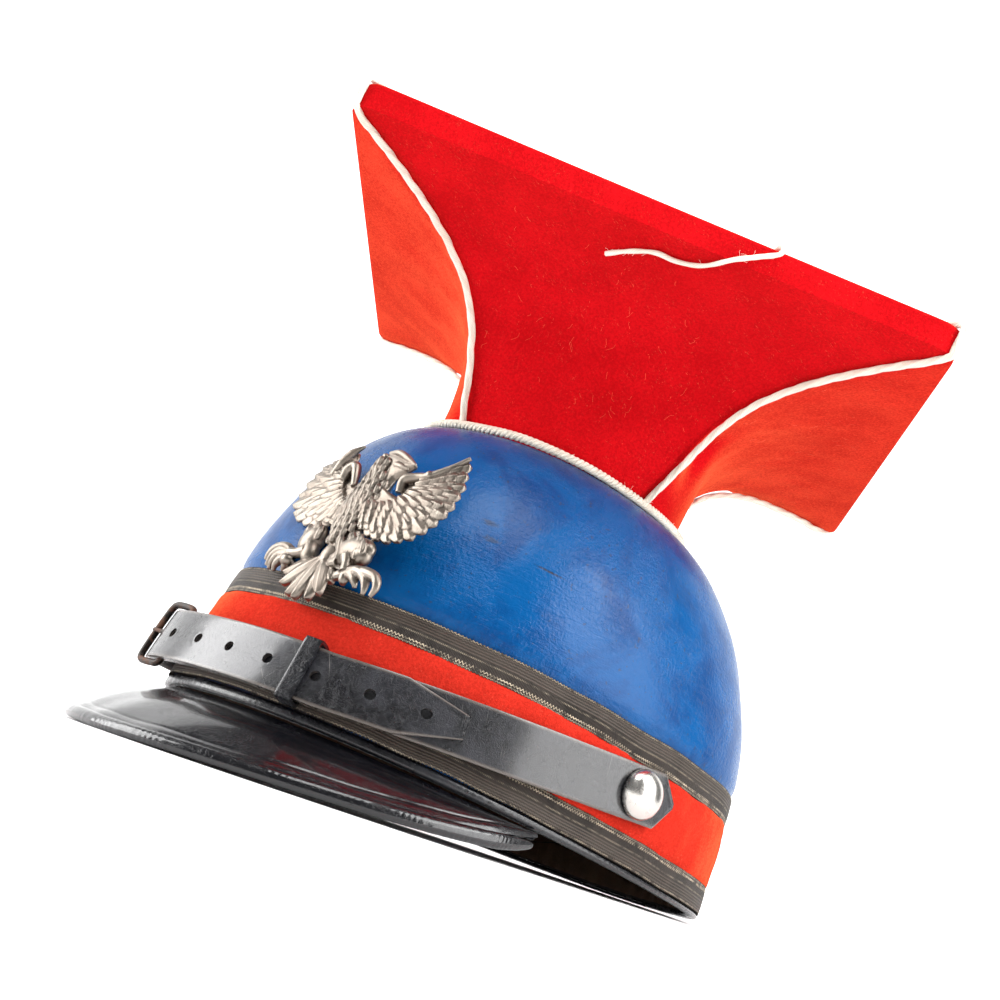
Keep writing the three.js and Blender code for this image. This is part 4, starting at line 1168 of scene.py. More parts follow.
class HELMET_OT_piping(Step, bpy.types.Operator):
    """Build the four pipings, which climb the ridges, cross the corners and run in over the top"""

    bl_idname = "helmet.piping"
    bl_label = "Piping"

    def build(self):
        clear = PIPING["radius"] + PIPING["clearance"]
        climbs = np.linspace(0.03, 1.85, 60)
        for seed, (ridge, angle) in enumerate(RIDGES.items()):
            points = crown(angle, climbs)
            out = unit(crown(angle, climbs, MM) - points)
            route = list(moved(points, (out, clear + dent(angle, climbs))))
            route += over_the_edge(angle, clear)
            for reach in (PIPING["halfway"], PIPING["centre_gap"]):
                route.append(crown_place(angle, reach, TOP_HEIGHT + clear, 1))
            path = flowing(route, 360)
            path = path + wobble(path, 12 * MM, seed=40 + seed)[:, None] * 0.15 * MM
            lumps = 1 + wobble(path, 6 * MM, seed=50 + seed) * 0.05
            piece = tube(f"piping_cord_{ridge}", path, PIPING["radius"] * lumps, 18, wave=self.strands)
            stand(piece, "white_cord", f"piping_{ridge}", angle=60)

    def strands(self, along, round_it):
        """Grooves between three strands that wind slowly along the cord."""
        strand = 3 * round_it + 2 * PIPING["turns"] * along
        return -PIPING["groove"] * (1 - np.abs(np.sin(math.pi * strand))) ** 2


class HELMET_OT_rope(Step, bpy.types.Operator):
    """Build the rope round the waist from its twisted strands"""

    bl_idname = "helmet.rope"
    bl_label = "Waist rope"

    def build(self):
        turns = round(ROPE["length"] / sizes().rope_pitch)
        angle = np.linspace(0, 360, 1100, endpoint=False)
        out = outward(angle)
        centre = wall(angle, WAIST["height"]) + out * ROPE["outset"]
        centre[:, 2] += ROPE["rise"] + wobble(centre, 30 * MM, seed=60) * 0.2 * MM
        spread = ROPE["radius"] - ROPE["strand"] + 0.2 * MM
        strands = []
        for strand in range(ROPE["strands"]):
            phase = np.radians(angle) * turns + TURN * strand / ROPE["strands"]
            path = moved(centre, (out, spread * np.cos(phase)), (UP, spread * np.sin(phase)))
            strands.append(tube("strand", path, ROPE["strand"], 10, closed=True))
        stand(join(strands, "rope_of_waist"), "white_cord", "waist_cord", angle=80)


LOOSE_CORD = {"radius": 1.05 * MM, "clearance": 0.6 * MM}
LOOSE_CORD_ON_TOP = [(50, 10 * MM), (58, 40 * MM), (68, 78 * MM)]
LOOSE_CORD_CROSSES_AT = 66.5
LOOSE_CORD_ON_SIDE = [(63.5, 1.4), (60.5, 1.02), (56.5, 0.978), (52, 0.967), (48, 0.967)]
LOOSE_CORD_ON_SIDE += [(43, 0.95), (38, 0.925)]


def loose_cord_path():
    clear = LOOSE_CORD["radius"] + LOOSE_CORD["clearance"]
    route = [crown_place(angle, reach, TOP_HEIGHT + clear, 1) for angle, reach in LOOSE_CORD_ON_TOP]
    route += over_the_edge(LOOSE_CORD_CROSSES_AT, clear)[::-1]
    route += [crown(angle, climb, clear) for angle, climb in LOOSE_CORD_ON_SIDE]
    return flowing([np.asarray(point, float).reshape(3) for point in route], 400)


class HELMET_OT_loose_cord(Step, bpy.types.Operator):
    """Build the length of cord that has come loose from the top and lies over its edge"""

    bl_idname = "helmet.loose_cord"
    bl_label = "Loose cord"

    def build(self):
        path = loose_cord_path()
        thinner = 0.8 + 0.1 * wobble(path, 5 * MM, seed=64)
        piece = tube("cord_come_loose", path, LOOSE_CORD["radius"] * thinner, 12)
        stand(piece, "white_cord", "loose_cord", angle=60)


HAIRS = {"cloth": 130, "rope": 60, "loose_cord": 46}


class HELMET_OT_lint(Step, bpy.types.Operator):
    """Scatter loose fibres over the cloth, and fluff along the rope and the loose cord"""

    bl_idname = "helmet.lint"
    bl_label = "Loose fibres"

    def build(self):
        chance = np.random.RandomState(90)
        length = sizes().fibre_length
        hairs = []
        for _ in range(HAIRS["cloth"]):
            angle, climb = chance.uniform(2, 178), chance.uniform(0.25, 0.97)
            start = crown(angle, climb, 0.25 * MM)
            aside, above = chance.uniform(-2, 2), chance.choice((-1, 1)) * 0.02
            ahead = crown(angle + aside, climb + above, 0.25 * MM) - start
            hairs.append(self.hair(start, unit(ahead), length * chance.uniform(0.25, 0.8), chance))
        stand(join(hairs, "lint_on_cloth"), "cloth_lint", slot="red_cloth", angle=80)
        hairs = []
        for angle in chance.uniform(0, 360, HAIRS["rope"]):
            out = outward(angle) + UP * chance.uniform(-0.6, 0.8)
            start = wall(angle, WAIST["height"]) + outward(angle) * ROPE["outset"] + UP * ROPE["rise"]
            hairs.append(self.hair(start, unit(out), length * chance.uniform(0.5, 0.9), chance))
        cord = loose_cord_path()
        for at in chance.randint(60, len(cord) - 4, HAIRS["loose_cord"]):
            ahead = unit(cord[at + 3] - cord[at])
            out = unit(ahead * chance.uniform(-1, 1) + unit(chance.normal(size=3)) * 1.3)
            hairs.append(self.hair(cord[at], out, length * chance.uniform(0.45, 0.8), chance))
        stand(join(hairs, "fluff_of_cords"), "white_cord", angle=80)

    def hair(self, start, ahead, length, chance):
        """One curled hair that sets out from a place in a direction."""
        aside = unit(np.cross(ahead, unit(chance.normal(size=3)))) * chance.uniform(0.15, 0.45)
        bends = [start + length * (ahead * t + aside * math.sin(math.pi * t) * t) for t in (0, 0.35, 0.7, 1)]
        return tube("hair", flowing(np.array(bends).reshape(4, 3), 5), 0.045 * MM, 3)


class HELMET_OT_peak(Step, bpy.types.Operator):
    """Build the peak with its stitched groove and the puckered bead round its edge"""

    bl_idname = "helmet.peak"
    bl_label = "Peak"

    def build(self):
        bead, end, stitching = PEAK["bead"] / 2, PEAK["end_angle"], sizes().peak_stitching
        edge_length = 0.27

        def surface(u, v):
            angle = end * (2 * u - 1)
            full = peak_reach(angle) + PEAK["tucked_under"]
            out = (1 - (bead * 0.5) / full) * v
            from_edge = (1 - out) * full - bead
            groove = np.exp(-(((from_edge - stitching) / (0.4 * MM)) ** 2)) * 0.2 * MM
            swell = smooth(from_edge, stitching, 0) * 0.25 * MM
            lumps = wobble(peak_point(angle, out), 26 * MM, seed=70) * 0.25 * MM
            raised = PEAK["thickness"] / 2 - groove + swell + lumps * smooth(v, 0.05, 0.3)
            return peak_point(angle, out, raised)

        def beading(u, v):
            angle = end * (2 * u - 1)
            edge = 1.0 + 0 * u
            centre = peak_point(angle, edge)
            inward = unit(peak_point(angle, 0.9 + 0 * u) - centre)
            up = unit(peak_point(angle, edge, MM) - centre)
            turn = TURN * v
            arc = u * edge_length
            puckers = 1 + 0.012 * np.sin(TURN * arc / (2.6 * MM) + 4 * np.sin(TURN * arc / (17 * MM)))
            closing = np.clip(np.minimum(u, 1 - u) / 0.06, 0, 1) ** 0.5
            reach = bead * puckers * (0.15 + 0.85 * closing)
            return moved(centre, (inward, reach * np.cos(turn)), (up, 0.8 * reach * np.sin(turn)))

        piece = lay_out("peak_leather", 230, 64, surface, (0.26, 36 * MM))
        face_towards(piece, UP)
        thicken(piece, PEAK["thickness"])
        stand(piece, "patent_leather", "peak", angle=50)
        piece = shell("bead_of_peak", 1000, 18, beading, (edge_length, 14 * MM), capped=True)
        stand(piece, "patent_leather", "peak_binding", angle=60)


STRAP_WIDTH = 18.5 * MM
END_TAPER = {"length": 4.5, "narrowest": 0.12}
TIP_TAPER = {"length": 11.5, "narrowest": 0.42}
FLAT = 1.75 * MM  # length of one degree of a strap while it lies flat
POST_HOLE = 2.3 * MM


def tapered(to_end, taper):
    part = np.clip(to_end / taper["length"], 0, 1)
    return taper["narrowest"] + (1 - taper["narrowest"]) * part


def strap(name, node, ends, width_at, clearance, holes, seed):
    """A strap: laid flat, punched, and then wrapped round the wall. Each hole is an angle and a radius."""
    half_thickness = STRAP["thickness"] / 2
    start, stop = ends
    columns = int(abs(stop - start) * FLAT / (1.0 * MM))

    def place(u, v):
        angle = start + (stop - start) * u
        half = width_at(angle) * STRAP_WIDTH / 2
        turn = TURN * v
        reach = squarish(turn, 7.0)
        across = half * np.clip(reach * np.cos(turn) * 1.02, -1, 1)
        level = half_thickness * np.clip(reach * np.sin(turn), -1, 1)
        inset = half - np.abs(across)
        line = np.exp(-(((inset - 2.1 * MM) / (0.3 * MM)) ** 2)) * 0.22 * MM
        level = level - np.sign(level) * line * (np.abs(level) > 0.5 * half_thickness)
        return stack(angle * FLAT, across, level + half_thickness)

    piece = shell(name, columns, 72, place, (abs(stop - start) * FLAT, 2 * STRAP_WIDTH), capped=True)
    for angle, radius in holes:
        at = (angle * FLAT, 0, 0)
        bpy.ops.mesh.primitive_cylinder_add(vertices=24, radius=radius, depth=20 * MM, location=at)
        cutter = bpy.context.object
        apply(piece, "BOOLEAN", operation="DIFFERENCE", object=cutter, solver="EXACT")
        bpy.data.objects.remove(cutter)
    flat = read(piece)
    level = flat[:, 2]
    for angle, radius in holes:
        away = np.hypot(flat[:, 0] - angle * FLAT, flat[:, 1])
        level = level + np.exp(-(((away - radius * 1.25) / (0.5 * MM)) ** 2)) * 0.15 * MM
    angle = flat[:, 0] / FLAT
    middle, _, across, out = strap_frame(angle, clearance(angle))
    ripples = wobble(flat, 40 * MM, seed=seed) * 0.1 * MM
    write(piece, moved(middle, (across, flat[:, 1]), (out, level + ripples)))
    stand(piece, "strap_leather", node, slot="black_leather", angle=40)


class HELMET_OT_chin_strap(Step, bpy.types.Operator):
    """Build both chin straps, the keeper and the buckle"""

    bl_idname = "helmet.chin_strap"
    bl_label = "Chin strap"

    def build(self):
        end, tip = STRAP["end_angle"], STRAP["tip_angle"]
        holes = [(angle, 1.75 * MM) for angle in HOLE_ANGLES if abs(angle - KEEPER_ANGLE) > 3]

        def left_width(angle):
            return tapered(end - angle, END_TAPER)

        def right_width(angle):
            return np.minimum(tapered(tip - angle, TIP_TAPER), tapered(angle + end, END_TAPER))

        left_ends, left_holes = (BUCKLE["near"] + 0.9, end), [(BUTTON_ANGLE, POST_HOLE)]
        strap("strap_of_left", "strap_left", left_ends, left_width, under_clearance, left_holes, seed=80)
        right_holes = [(-BUTTON_ANGLE, POST_HOLE), *holes]
        strap("strap_of_right", "strap_right", (-end, tip), right_width, over_clearance, right_holes, seed=81)
        self.keeper()
        self.buckle()

    def keeper(self):
        middle, along, across, out = strap_frame(KEEPER_ANGLE, under_clearance(KEEPER_ANGLE))
        half_width, thickness, wide = STRAP_WIDTH / 2 + 0.7 * MM, 1.2 * MM, 6 * MM
        low, high = -GAP, 2 * STRAP["thickness"] + 2 * GAP
        corners = [(-1, -1), (1, -1), (1, 1), (-1, 1)]

        def place(u, v):
            side, level = round_loop(corners, u)
            near = unit(np.stack([np.sign(part) * np.abs(part) ** 9 for part in (side, level)], axis=1))
            deep, long = round_loop([(0, -1), (0, 1), (1, 1), (1, -1)], v)
            soft = 1 - 0.12 * np.abs(long) ** 6
            x = side * half_width + near[:, 0] * deep * thickness
            z = (low + high) / 2 + level * (high - low) / 2 + near[:, 1] * deep * thickness * soft
            return moved(middle, (across, x), (out, z), (along, long * wide / 2))

        piece = shell("keeper_loop", 120, 32, place, (60 * MM, 14 * MM))
        stand(piece, "black_leather", "strap_keeper", angle=50)

    def buckle(self):
        wire = BUCKLE["wire"]
        half = STRAP_WIDTH / 2 + BUCKLE["clearance"] + wire
        over_far = over_clearance(BUCKLE["far"]) - under_clearance(BUCKLE["far"])
        lifts = {"near": STRAP["thickness"] / 2 - GAP, "far": over_far + STRAP["thickness"] + GAP + wire}
        bars = {}
        for end, lift in lifts.items():
            middle, _, across, out = strap_frame(BUCKLE[end], under_clearance(BUCKLE[end]))
            bars[end] = (middle + out * lift, across, out)
        near, far = bars["near"], bars["far"]
        lengthways = unit(far[0] - near[0])
        bend = 2.5 * MM
        corners = []
        for (middle, across, _), inward, first in ((near, bend, -1), (far, -bend, 1)):
            for side in (first, -first):
                rounding = [
                    middle + across * side * half + lengthways * inward,
                    middle + across * side * (half - bend * 0.3) + lengthways * inward * 0.3,
                    middle + across * side * (half - bend),
                ]
                corners += rounding if side == first else rounding[::-1]
        ring = tube("buckle_ring", flowing(corners + corners[:1], 160)[:-1], wire, 12, closed=True)
        pin_end = far[0] + far[2] * wire
        pin_path = flowing([near[0], near[0] * 0.5 + pin_end * 0.5 + near[2] * 0.5 * MM, pin_end], 24)
        pin = tube("buckle_pin", pin_path, np.linspace(0.95, 0.7, 25) * MM, 12)
        stand(join([ring, pin], "buckle_of_wire"), "iron", "strap_buckle", angle=60)


BUTTON = {"radius": 8.4 * MM, "height": 6 * MM, "rim": 0.7 * MM, "post": 2 * MM}


class HELMET_OT_buttons(Step, bpy.types.Operator):
    """Build the two domed buttons that hold the chin strap"""

    bl_idname = "helmet.buttons"
    bl_label = "Buttons"

    def build(self):
        seat = STRAP["thickness"] + GAP
        post, radius, rim, top = BUTTON["post"], BUTTON["radius"], BUTTON["rim"], BUTTON["height"]
        dome = [(post, seat), (radius * 0.97, seat), (radius, seat + rim * 0.5)]
        for turn in np.linspace(0.03, math.pi / 2, 22):
            dome.append((radius * math.cos(turn), seat + rim + (top - rim) * math.sin(turn)))
        for name, side, clearance in (("left", 1, under_clearance), ("right", -1, over_clearance)):
            angle = side * BUTTON_ANGLE
            middle, along, across, out = strap_frame(angle, clearance(angle))
            foot = GAP - clearance(angle) + BAND_PADDING
            aways, levels = np.array([(0, foot), (post, foot), *dome]).T

            def place(u, v):
                at = np.linspace(0, 1, len(aways))
                away, turn = np.interp(v, at, aways), TURN * u
                flat = moved(0, (along, away * np.cos(turn)), (across, away * np.sin(turn)))
                return moved(middle + flat, (out, np.interp(v, at, levels)))

            piece = shell(f"button_dome_{name}", 64, len(aways) - 1, place, (66 * MM, 20 * MM))
            stand(piece, "polished_metal", f"button_{name}", slot="white_metal", angle=60)


# ------------------------------------------------------------------ the badge

# On the casting's own face x runs to the wearer's left, y up from the helmet's lower edge and z outwards.
def badge_place():
    back = wall(0, EAGLE["height_at"])[1] - EAGLE["standoff"]
    tilt = math.pi / 2 - math.atan(EAGLE["lean"])
    to_face = Matrix.Translation((EAGLE["across_at"], back, EAGLE["height_at"]))
    return to_face @ Matrix.Rotation(tilt, 4, "X") @ Matrix.Translation((0, -EAGLE["height_at"], 0))


# Places on the casting's face, in millimetres across from its middle and up from the helmet's lower edge.
WING_TIPS = [(34.6, 92.6), (36.6, 87.8), (38, 83.3), (38.3, 78.4), (38.2, 74), (36, 69.6), (33.6, 65.2)]
WING_TIPS += [(29.4, 61.4), (24.8, 59.2), (19.3, 58.4), (14.6, 59), (9.2, 60.5)]
WING_SLAB = [(2, 64), (9, 62.5), (20, 60.5), (28, 62.5), (35, 70), (36.5, 75), (36.5, 83), (33.4, 94)]
WING_SLAB += [(28.6, 89.6), (23, 84.6), (15, 80.8), (14.8, 77.6), (15.2, 75.2), (9.6, 76.5), (2, 79)]
WING_ARM = [(19.5, 81.5), (17.4, 77), (13.6, 73.4), (5, 71)]
WING_EDGE = [(14.6, 76.6, 1.8), (14.2, 81, 2.6), (18.5, 83.4, 2.2), (22.4, 84.4, 2.4), (28.9, 89.6, 2)]
WING_EDGE += [(33.4, 94.8, 1.6)]
BENT_WING_TIPS = [(22.5, 90.6), (28, 88.6), (32.2, 85.4), (35.8, 82), (37.2, 77.6), (37.9, 72), (36.6, 66.6)]
BENT_WING_TIPS += [(32.8, 63.2), (28, 61), (21, 60), (14.4, 59.6), (8.3, 61.1)]
BENT_WING_SLAB = [(2, 64), (9, 62.5), (21, 61.8), (28, 63), (35, 67), (36.2, 72), (35.6, 79), (27.6, 87)]
BENT_WING_SLAB += [(21, 89), (18, 86), (12.5, 82.8), (7.4, 75), (2, 79)]
BENT_WING_ARM = [(17.5, 82), (14, 79), (9, 74), (5, 70)]
BENT_TIP = [(24, 80, 2.4), (21.6, 85, 3.2), (19.8, 89.4, 3), (16.9, 93, 2.2)]
BENT_SHOULDER = [(15.8, 78, 2.8), (15, 82, 3.4), (12.8, 83.8, 3.2), (10.4, 80.8, 2.8), (8.2, 76.4, 2.2)]

TORSO = {
    "up": (50, 57, 64, 70, 76, 82, 88),
    "middle": (1, 2, 0.5, 0, 0.6, 0.4, -0.8),
    "half": (3, 6, 8.4, 8.8, 7.2, 5.8, 4.4),
}
HEAD = [(-4.6, 79), (-4.5, 88.3), (-2, 91.6), (3.1, 91.9), (9, 90.4), (14.8, 87.7), (11.2, 84.4)]
HEAD += [(8.4, 81.6), (7.6, 77)]
# The feathers of the thighs: place across and up, and width.
NEAR_THIGH = [(6, 55, 5), (10, 57, 6), (14, 57, 6), (17.6, 55.4, 5), (8, 52, 5), (12, 53.4, 5), (16, 53, 5)]
FAR_THIGH = [(-15, 58, 5), (-12, 59.4, 6), (-9, 58, 5), (-14, 54.6, 5), (-11, 54.6, 5)]
# Toes and other rods also give how far each point stands out.
NEAR_TOES = [
    [(16, 44.2, 1.6), (12.6, 42.6, 1.9), (10.6, 42.1, 1)],
    [(16.4, 44, 1.9), (17, 41.8, 2.1), (16.7, 40.3, 0.9)],
    [(17, 44.4, 1.9), (20.8, 43.4, 2.3), (22.8, 41.4, 1.8), (23, 40.2, 0.9)],
    [(17.6, 45, 1.9), (23, 45.2, 2.4), (27, 43, 2), (28.5, 40, 1.4), (28.3, 38.6, 0.8)],
    [(20, 45.6, 1.7), (27.4, 45.2, 2.3), (31.6, 44.2, 2), (33.3, 41.4, 1.4), (32.3, 38.4, 0.8)],
]
FAR_TOES = [
    [(-16, 47.6, 1.6), (-22, 49.6, 2.1), (-27.2, 48.8, 1.9), (-29.6, 46, 1.4), (-30.1, 44.2, 0.8)],
    [(-17, 47.4, 1.9), (-23, 48, 2.4), (-26.4, 45.4, 2), (-27.7, 42.2, 0.9)],
    [(-17, 46.6, 1.9), (-22, 46.4, 2.4), (-24.6, 43.4, 1.9), (-25.3, 41.2, 0.9)],
    [(-16.6, 46, 1.9), (-20, 44.8, 2.3), (-21.9, 42.4, 1.8), (-22.3, 40.8, 0.9)],
    [(-14.6, 46, 1.7), (-16.2, 44, 2.1), (-17.6, 41.3, 0.9)],
]
TAIL_TIPS = [(-15.4, 40.6), (-12, 36), (-7, 33), (-1.4, 31.6), (4.2, 32.6), (9.4, 35), (10.4, 40.6)]


def feather(root, tip, width, base, rise, rounding, vane=0.07):
    """A feather between two places of the casting's face: a rib along its middle and fine barbs."""
    root, tip = np.array(root) * MM, np.array(tip) * MM
    length = np.linalg.norm(tip - root)
    ahead = (tip - root) / length
    aside = np.array([-ahead[1], ahead[0]])
    half, base, rise = width / 2 * MM, base * MM, rise * MM

    def place(u, v):
        turn = TURN * v
        ending = np.clip((u - 1 + rounding) / rounding, 0, 1)
        outline = half * np.sqrt(np.maximum(0, 1 - ending**2.2)) * (0.6 + 0.4 * smooth(u, 0, 0.4))
        outline = np.maximum(outline, 0.02 * MM)
        side = np.cos(turn)
        dome = np.sin(turn)
        shaft = np.exp(-((side / 0.16) ** 2)) * 0.25 * MM
        slant = u * length - np.abs(side) * half * 0.9
        barbs = np.sin(slant * TURN / (0.95 * MM)) * vane * MM * (np.abs(side) > 0.2)
        front = np.maximum(dome, 0) ** 0.6 * rise * 0.75 + (shaft + barbs) * (dome > 0.2)
        bend = np.sin(math.pi * u) * 0.04 * length
        flat = root + np.outer(u * length, ahead) + np.outer(side * outline, aside)
        return stack(flat[:, 0], flat[:, 1], base + np.where(dome > 0, front, dome * 0.6 * MM) + bend)

    return shell("feather", 26, 16, place, capped=True)


def slab(outline, middle, rise):
    """A plate with a closed outline, flat behind and swelling to its middle in front."""
    corners = np.array(outline + outline[:1], float) * MM
    centre, rise = np.array(middle) * MM, rise * MM

    def place(u, v):
        edge = np.stack(by_length(corners, u), axis=1)
        out = np.minimum(1, 2 * np.minimum(v, 1 - v))
        flat = centre + (edge - centre) * out[:, None]
        return stack(flat[:, 0], flat[:, 1], np.where(v < 0.5, 0, rise * (0.35 + 0.65 * np.sqrt(1 - out**4))))

    return shell("slab", 120, 24, place)


def lump(right, up, rise, half_width, half_height, half_depth, turn=0.0):
    """A rounded lump of the casting at a place of its face, in millimetres, and turned on it."""
    deselect()
    bpy.ops.mesh.primitive_uv_sphere_add(segments=40, ring_count=24, radius=1)
    piece = bpy.context.object
    points = read(piece) * np.array([half_width, half_height, half_depth]) * MM
    x, y, z = points.T
    cos, sin = math.cos(turn), math.sin(turn)
    write(piece, stack(x * cos - y * sin, x * sin + y * cos, z) + np.array([right, up, rise]) * MM)
    return piece


def bar(points, radii):
    """A rod of changing thickness along points of the casting's face, in millimetres."""
    path = flowing(np.array(points, float) * MM, 40)
    thick = np.interp(np.linspace(0, 1, 41), np.linspace(0, 1, len(radii)), radii) * MM
    return tube("bar", path, thick, 12)


class HELMET_OT_badge(Step, bpy.types.Operator):
    """Build the cast eagle: wings, coverts, body, head, legs and tail, fused into one casting"""

    bl_idname = "helmet.badge"
    bl_label = "Eagle badge"

    def build(self):
        near = self.feathers(WING_TIPS, WING_ARM)
        near += [slab(WING_SLAB, (22, 70), 2.0), bar(WING_EDGE, [1.3, 1.8, 1.5, 1.3, 1.0, 0.7])]
        near.append(lump(23, 84.9, 2.6, 1.7, 1.5, 1.5))
        far = self.feathers(BENT_WING_TIPS, BENT_WING_ARM) + [slab(BENT_WING_SLAB, (20, 72), 2.0)]
        far += [bar(BENT_TIP, [1.3, 1.7, 1.5, 0.4]), bar(BENT_SHOULDER, [1.5, 2.0, 1.8, 1.5, 1.1])]
        parts = self.fold(near, EAGLE["fold_near"], 1) + self.fold(far, EAGLE["fold_far"], -1)
        parts += self.body() + self.legs() + self.tail()
        piece = join(parts, "eagle_of_metal")
        select(piece)
        piece.data.remesh_voxel_size = sizes().feather_voxel
        bpy.ops.object.voxel_remesh()
        piece.data.transform(badge_place())
        stand(piece, "white_metal", "eagle_badge", angle=70)

    def fold(self, pieces, degrees, mirror):
        """Folds a wing's parts back from the casting's face, and mirrors them for the far wing."""
        at = EAGLE["fold_at"] * MM
        turn = Matrix.Rotation(math.radians(degrees), 4, "Y")
        matrix = Matrix.Translation((at, 0, 0)) @ turn @ Matrix.Translation((-at, 0, 0))
        for piece in pieces:
            piece.data.transform(matrix)
            if mirror < 0:
                piece.data.transform(Matrix.Scale(-1, 4, (1, 0, 0)))
                face_outwards(piece)
        return pieces

    def feathers(self, tips, arm):
        """Long feathers, and over them four rows of short ones that lie like tiles."""
        tips, arm = np.array(tips, float), np.array(arm, float)
        chance = np.random.RandomState(5)
        parts = []
        last = len(tips) - 1
        for across, starts, ends, width, base in (
            (14, 0.45, 1.0, 5.6, 0.3),
            (16, 0.4, 0.84, 4.2, 0.9),
            (15, 0.3, 0.68, 3.6, 1.3),
            (13, 0.18, 0.5, 3.2, 1.6),
            (11, 0.06, 0.34, 2.9, 1.9),
        ):
            for i in range(across):
                part = i / (across - 1)
                low = min(int(part * last), last - 1)
                tip = tips[low] + (tips[low + 1] - tips[low]) * (part * last - low)
                bone = part * (len(arm) - 1)
                near = min(int(bone), len(arm) - 2)
                shoulder = arm[near] + (arm[near + 1] - arm[near]) * (bone - near)
                uneven = chance.uniform(-0.03, 0.03) * (ends < 1)
                root = shoulder + (tip - shoulder) * starts
                end = shoulder + (tip - shoulder) * (ends + uneven)
                parts.append(feather(root, end, width, base + 0.3 * (i % 2), 1.5, 0.4))
        return parts

    def body(self):
        parts = [
            lump(0, 68.5, 0.8, 9, 12.5, 3.8),
            lump(1.6, 59, 0.8, 5.6, 8, 3.4),
            lump(0.6, 78, 0.8, 6.8, 8, 3.4),
            lump(0.4, 84, 0.8, 5.4, 6.4, 3.0),
            slab(HEAD, (2, 86), 3.2),
            bar([(-1, 91, 2.2), (4, 91.2, 2.8), (9.6, 89.6, 2.6), (14.4, 87.8, 1.8)], [0.9, 1.2, 1.2, 0.5]),
            bar([(6, 86.6, 2.6), (9, 86.2, 2.6), (12.4, 85.8, 2)], [1.3, 1.0, 0.5]),
            lump(-1.8, 89.2, 3.0, 1.3, 1.1, 1.0),
        ]
        for k, up in enumerate(np.arange(55, 88, 2.6)):
            middle, half = (np.interp(up, TORSO["up"], TORSO[key]) for key in ("middle", "half"))
            half = half * 0.86
            across = max(3, round(half * 2 / 2.6))
            for i in range(across):
                side = (2 * (i + 0.5 * (k % 2)) / (across - 0.5) - 1) * 0.95
                depth = 3.5 * math.sqrt(max(0.08, 1 - side * side * 0.8)) + 0.6
                right = middle + side * half
                root, tip = (right - 0.4, up + 2), (right + 0.7, up - 1.8)
                parts.append(feather(root, tip, 3.1, depth - 0.2, 1.0, 0.6, 0.0))
        return parts

    def legs(self):
        """The near leg and the far one, each with a smooth thigh, a hock and five thick claws."""
        parts = [
            lump(12.6, 53.4, 1.2, 8.4, 4.6, 3.6, turn=0.1),
            lump(17, 51.6, 1.2, 3.6, 3.6, 3.2),
            lump(8.6, 49.8, 1.4, 5.4, 3.2, 2.8, turn=0.6),
            bar([(13, 49.5, 2.4), (15, 46.4, 2.6), (16.2, 44, 2.6)], [2.8, 2.0, 2.2]),
            bar([(9.6, 47.4, 2.2), (6.4, 47, 2), (4.4, 49.5, 1.6)], [2.2, 1.8, 1.4]),
            lump(-12, 54.4, 1.2, 4.8, 6.2, 3.4, turn=-0.45),
            lump(-9.4, 49.8, 1.4, 3.4, 4.8, 2.8, turn=0.5),
            bar([(-10, 49.4, 2.2), (-14, 47.8, 2.6), (-17, 47.4, 2.8)], [2.4, 1.8, 2.0]),
            lump(-16.4, 44.8, 2.6, 2.8, 2.2, 2.2),
        ]
        for feathers, above, below, base in ((NEAR_THIGH, -1, 1.6, 3.3), (FAR_THIGH, 0, 1, 3.0)):
            for right, up, wide in feathers:
                root, tip = (right + above, up + 1), (right + below, up - 4.4)
                parts.append(feather(root, tip, wide * 0.66, base, 1.0, 0.5, 0.0))
        for toes, long, short in (
            (NEAR_TOES, [2.1, 2.1, 1.9, 1.5, 0.7], [2.1, 2.0, 1.6, 0.7]),
            (FAR_TOES, [1.9, 1.9, 1.7, 1.4, 0.7], [1.9, 1.8, 1.4, 0.7]),
        ):
            parts += [bar(toe, long if len(toe) > 4 else short) for toe in toes]
        return parts

    def tail(self):
        parts = [lump(1, 49.5, 0.8, 3.4, 6, 2.8), lump(0, 43, 0.8, 6, 5, 2.2)]
        for i, tip in enumerate(TAIL_TIPS):
            root = (1 + tip[0] * 0.1, 48)
            parts.append(feather(root, tip, 5.6, 0.2 + 0.9 * (i % 2), 2.6, 0.5, 0.0))
        return parts


# ------------------------------------------------------------------ stage, panel and order of work


def stage_property(name, description, default, **limits):
    return bpy.props.FloatProperty(name=name, description=description, default=default, **limits)


class HelmetStage(bpy.types.PropertyGroup):
    """Light, backdrop and camera of the picture."""

    backdrop: colour_property("Backdrop", "Paper that the helmet stands on", (0.9, 0.9, 0.9))
    glow: stage_property("Glow", "How brightly the far paper is lit", 1.0, min=0)
    left_power: stage_property("Left", "Power of the left soft box", 15, unit="POWER")
    right_power: stage_property("Right", "Power of the right soft box", 10.5, unit="POWER")
    front_power: stage_property("Front", "Power of the raised front box", 3.2, unit="POWER")
    high_power: stage_property("High", "Power of the raised side box", 3.2, unit="POWER")
    sky_power: stage_property("Sky", "Power of each wide box", 7.6, unit="POWER")
    ambient: stage_property("Ambient", "Strength of the even light", 0.2, min=0)
    lens: stage_property("Lens", "Focal length on a 36 mm sensor", 67.116, min=10)


CAMERA = {
    "place": Vector((0.5063, -0.4608, 0.006)),
    "target": Vector((0.04376, -0.067475, 0.111873)),
    "right": Vector((0.66818, 0.67626, 0.31017)),
}

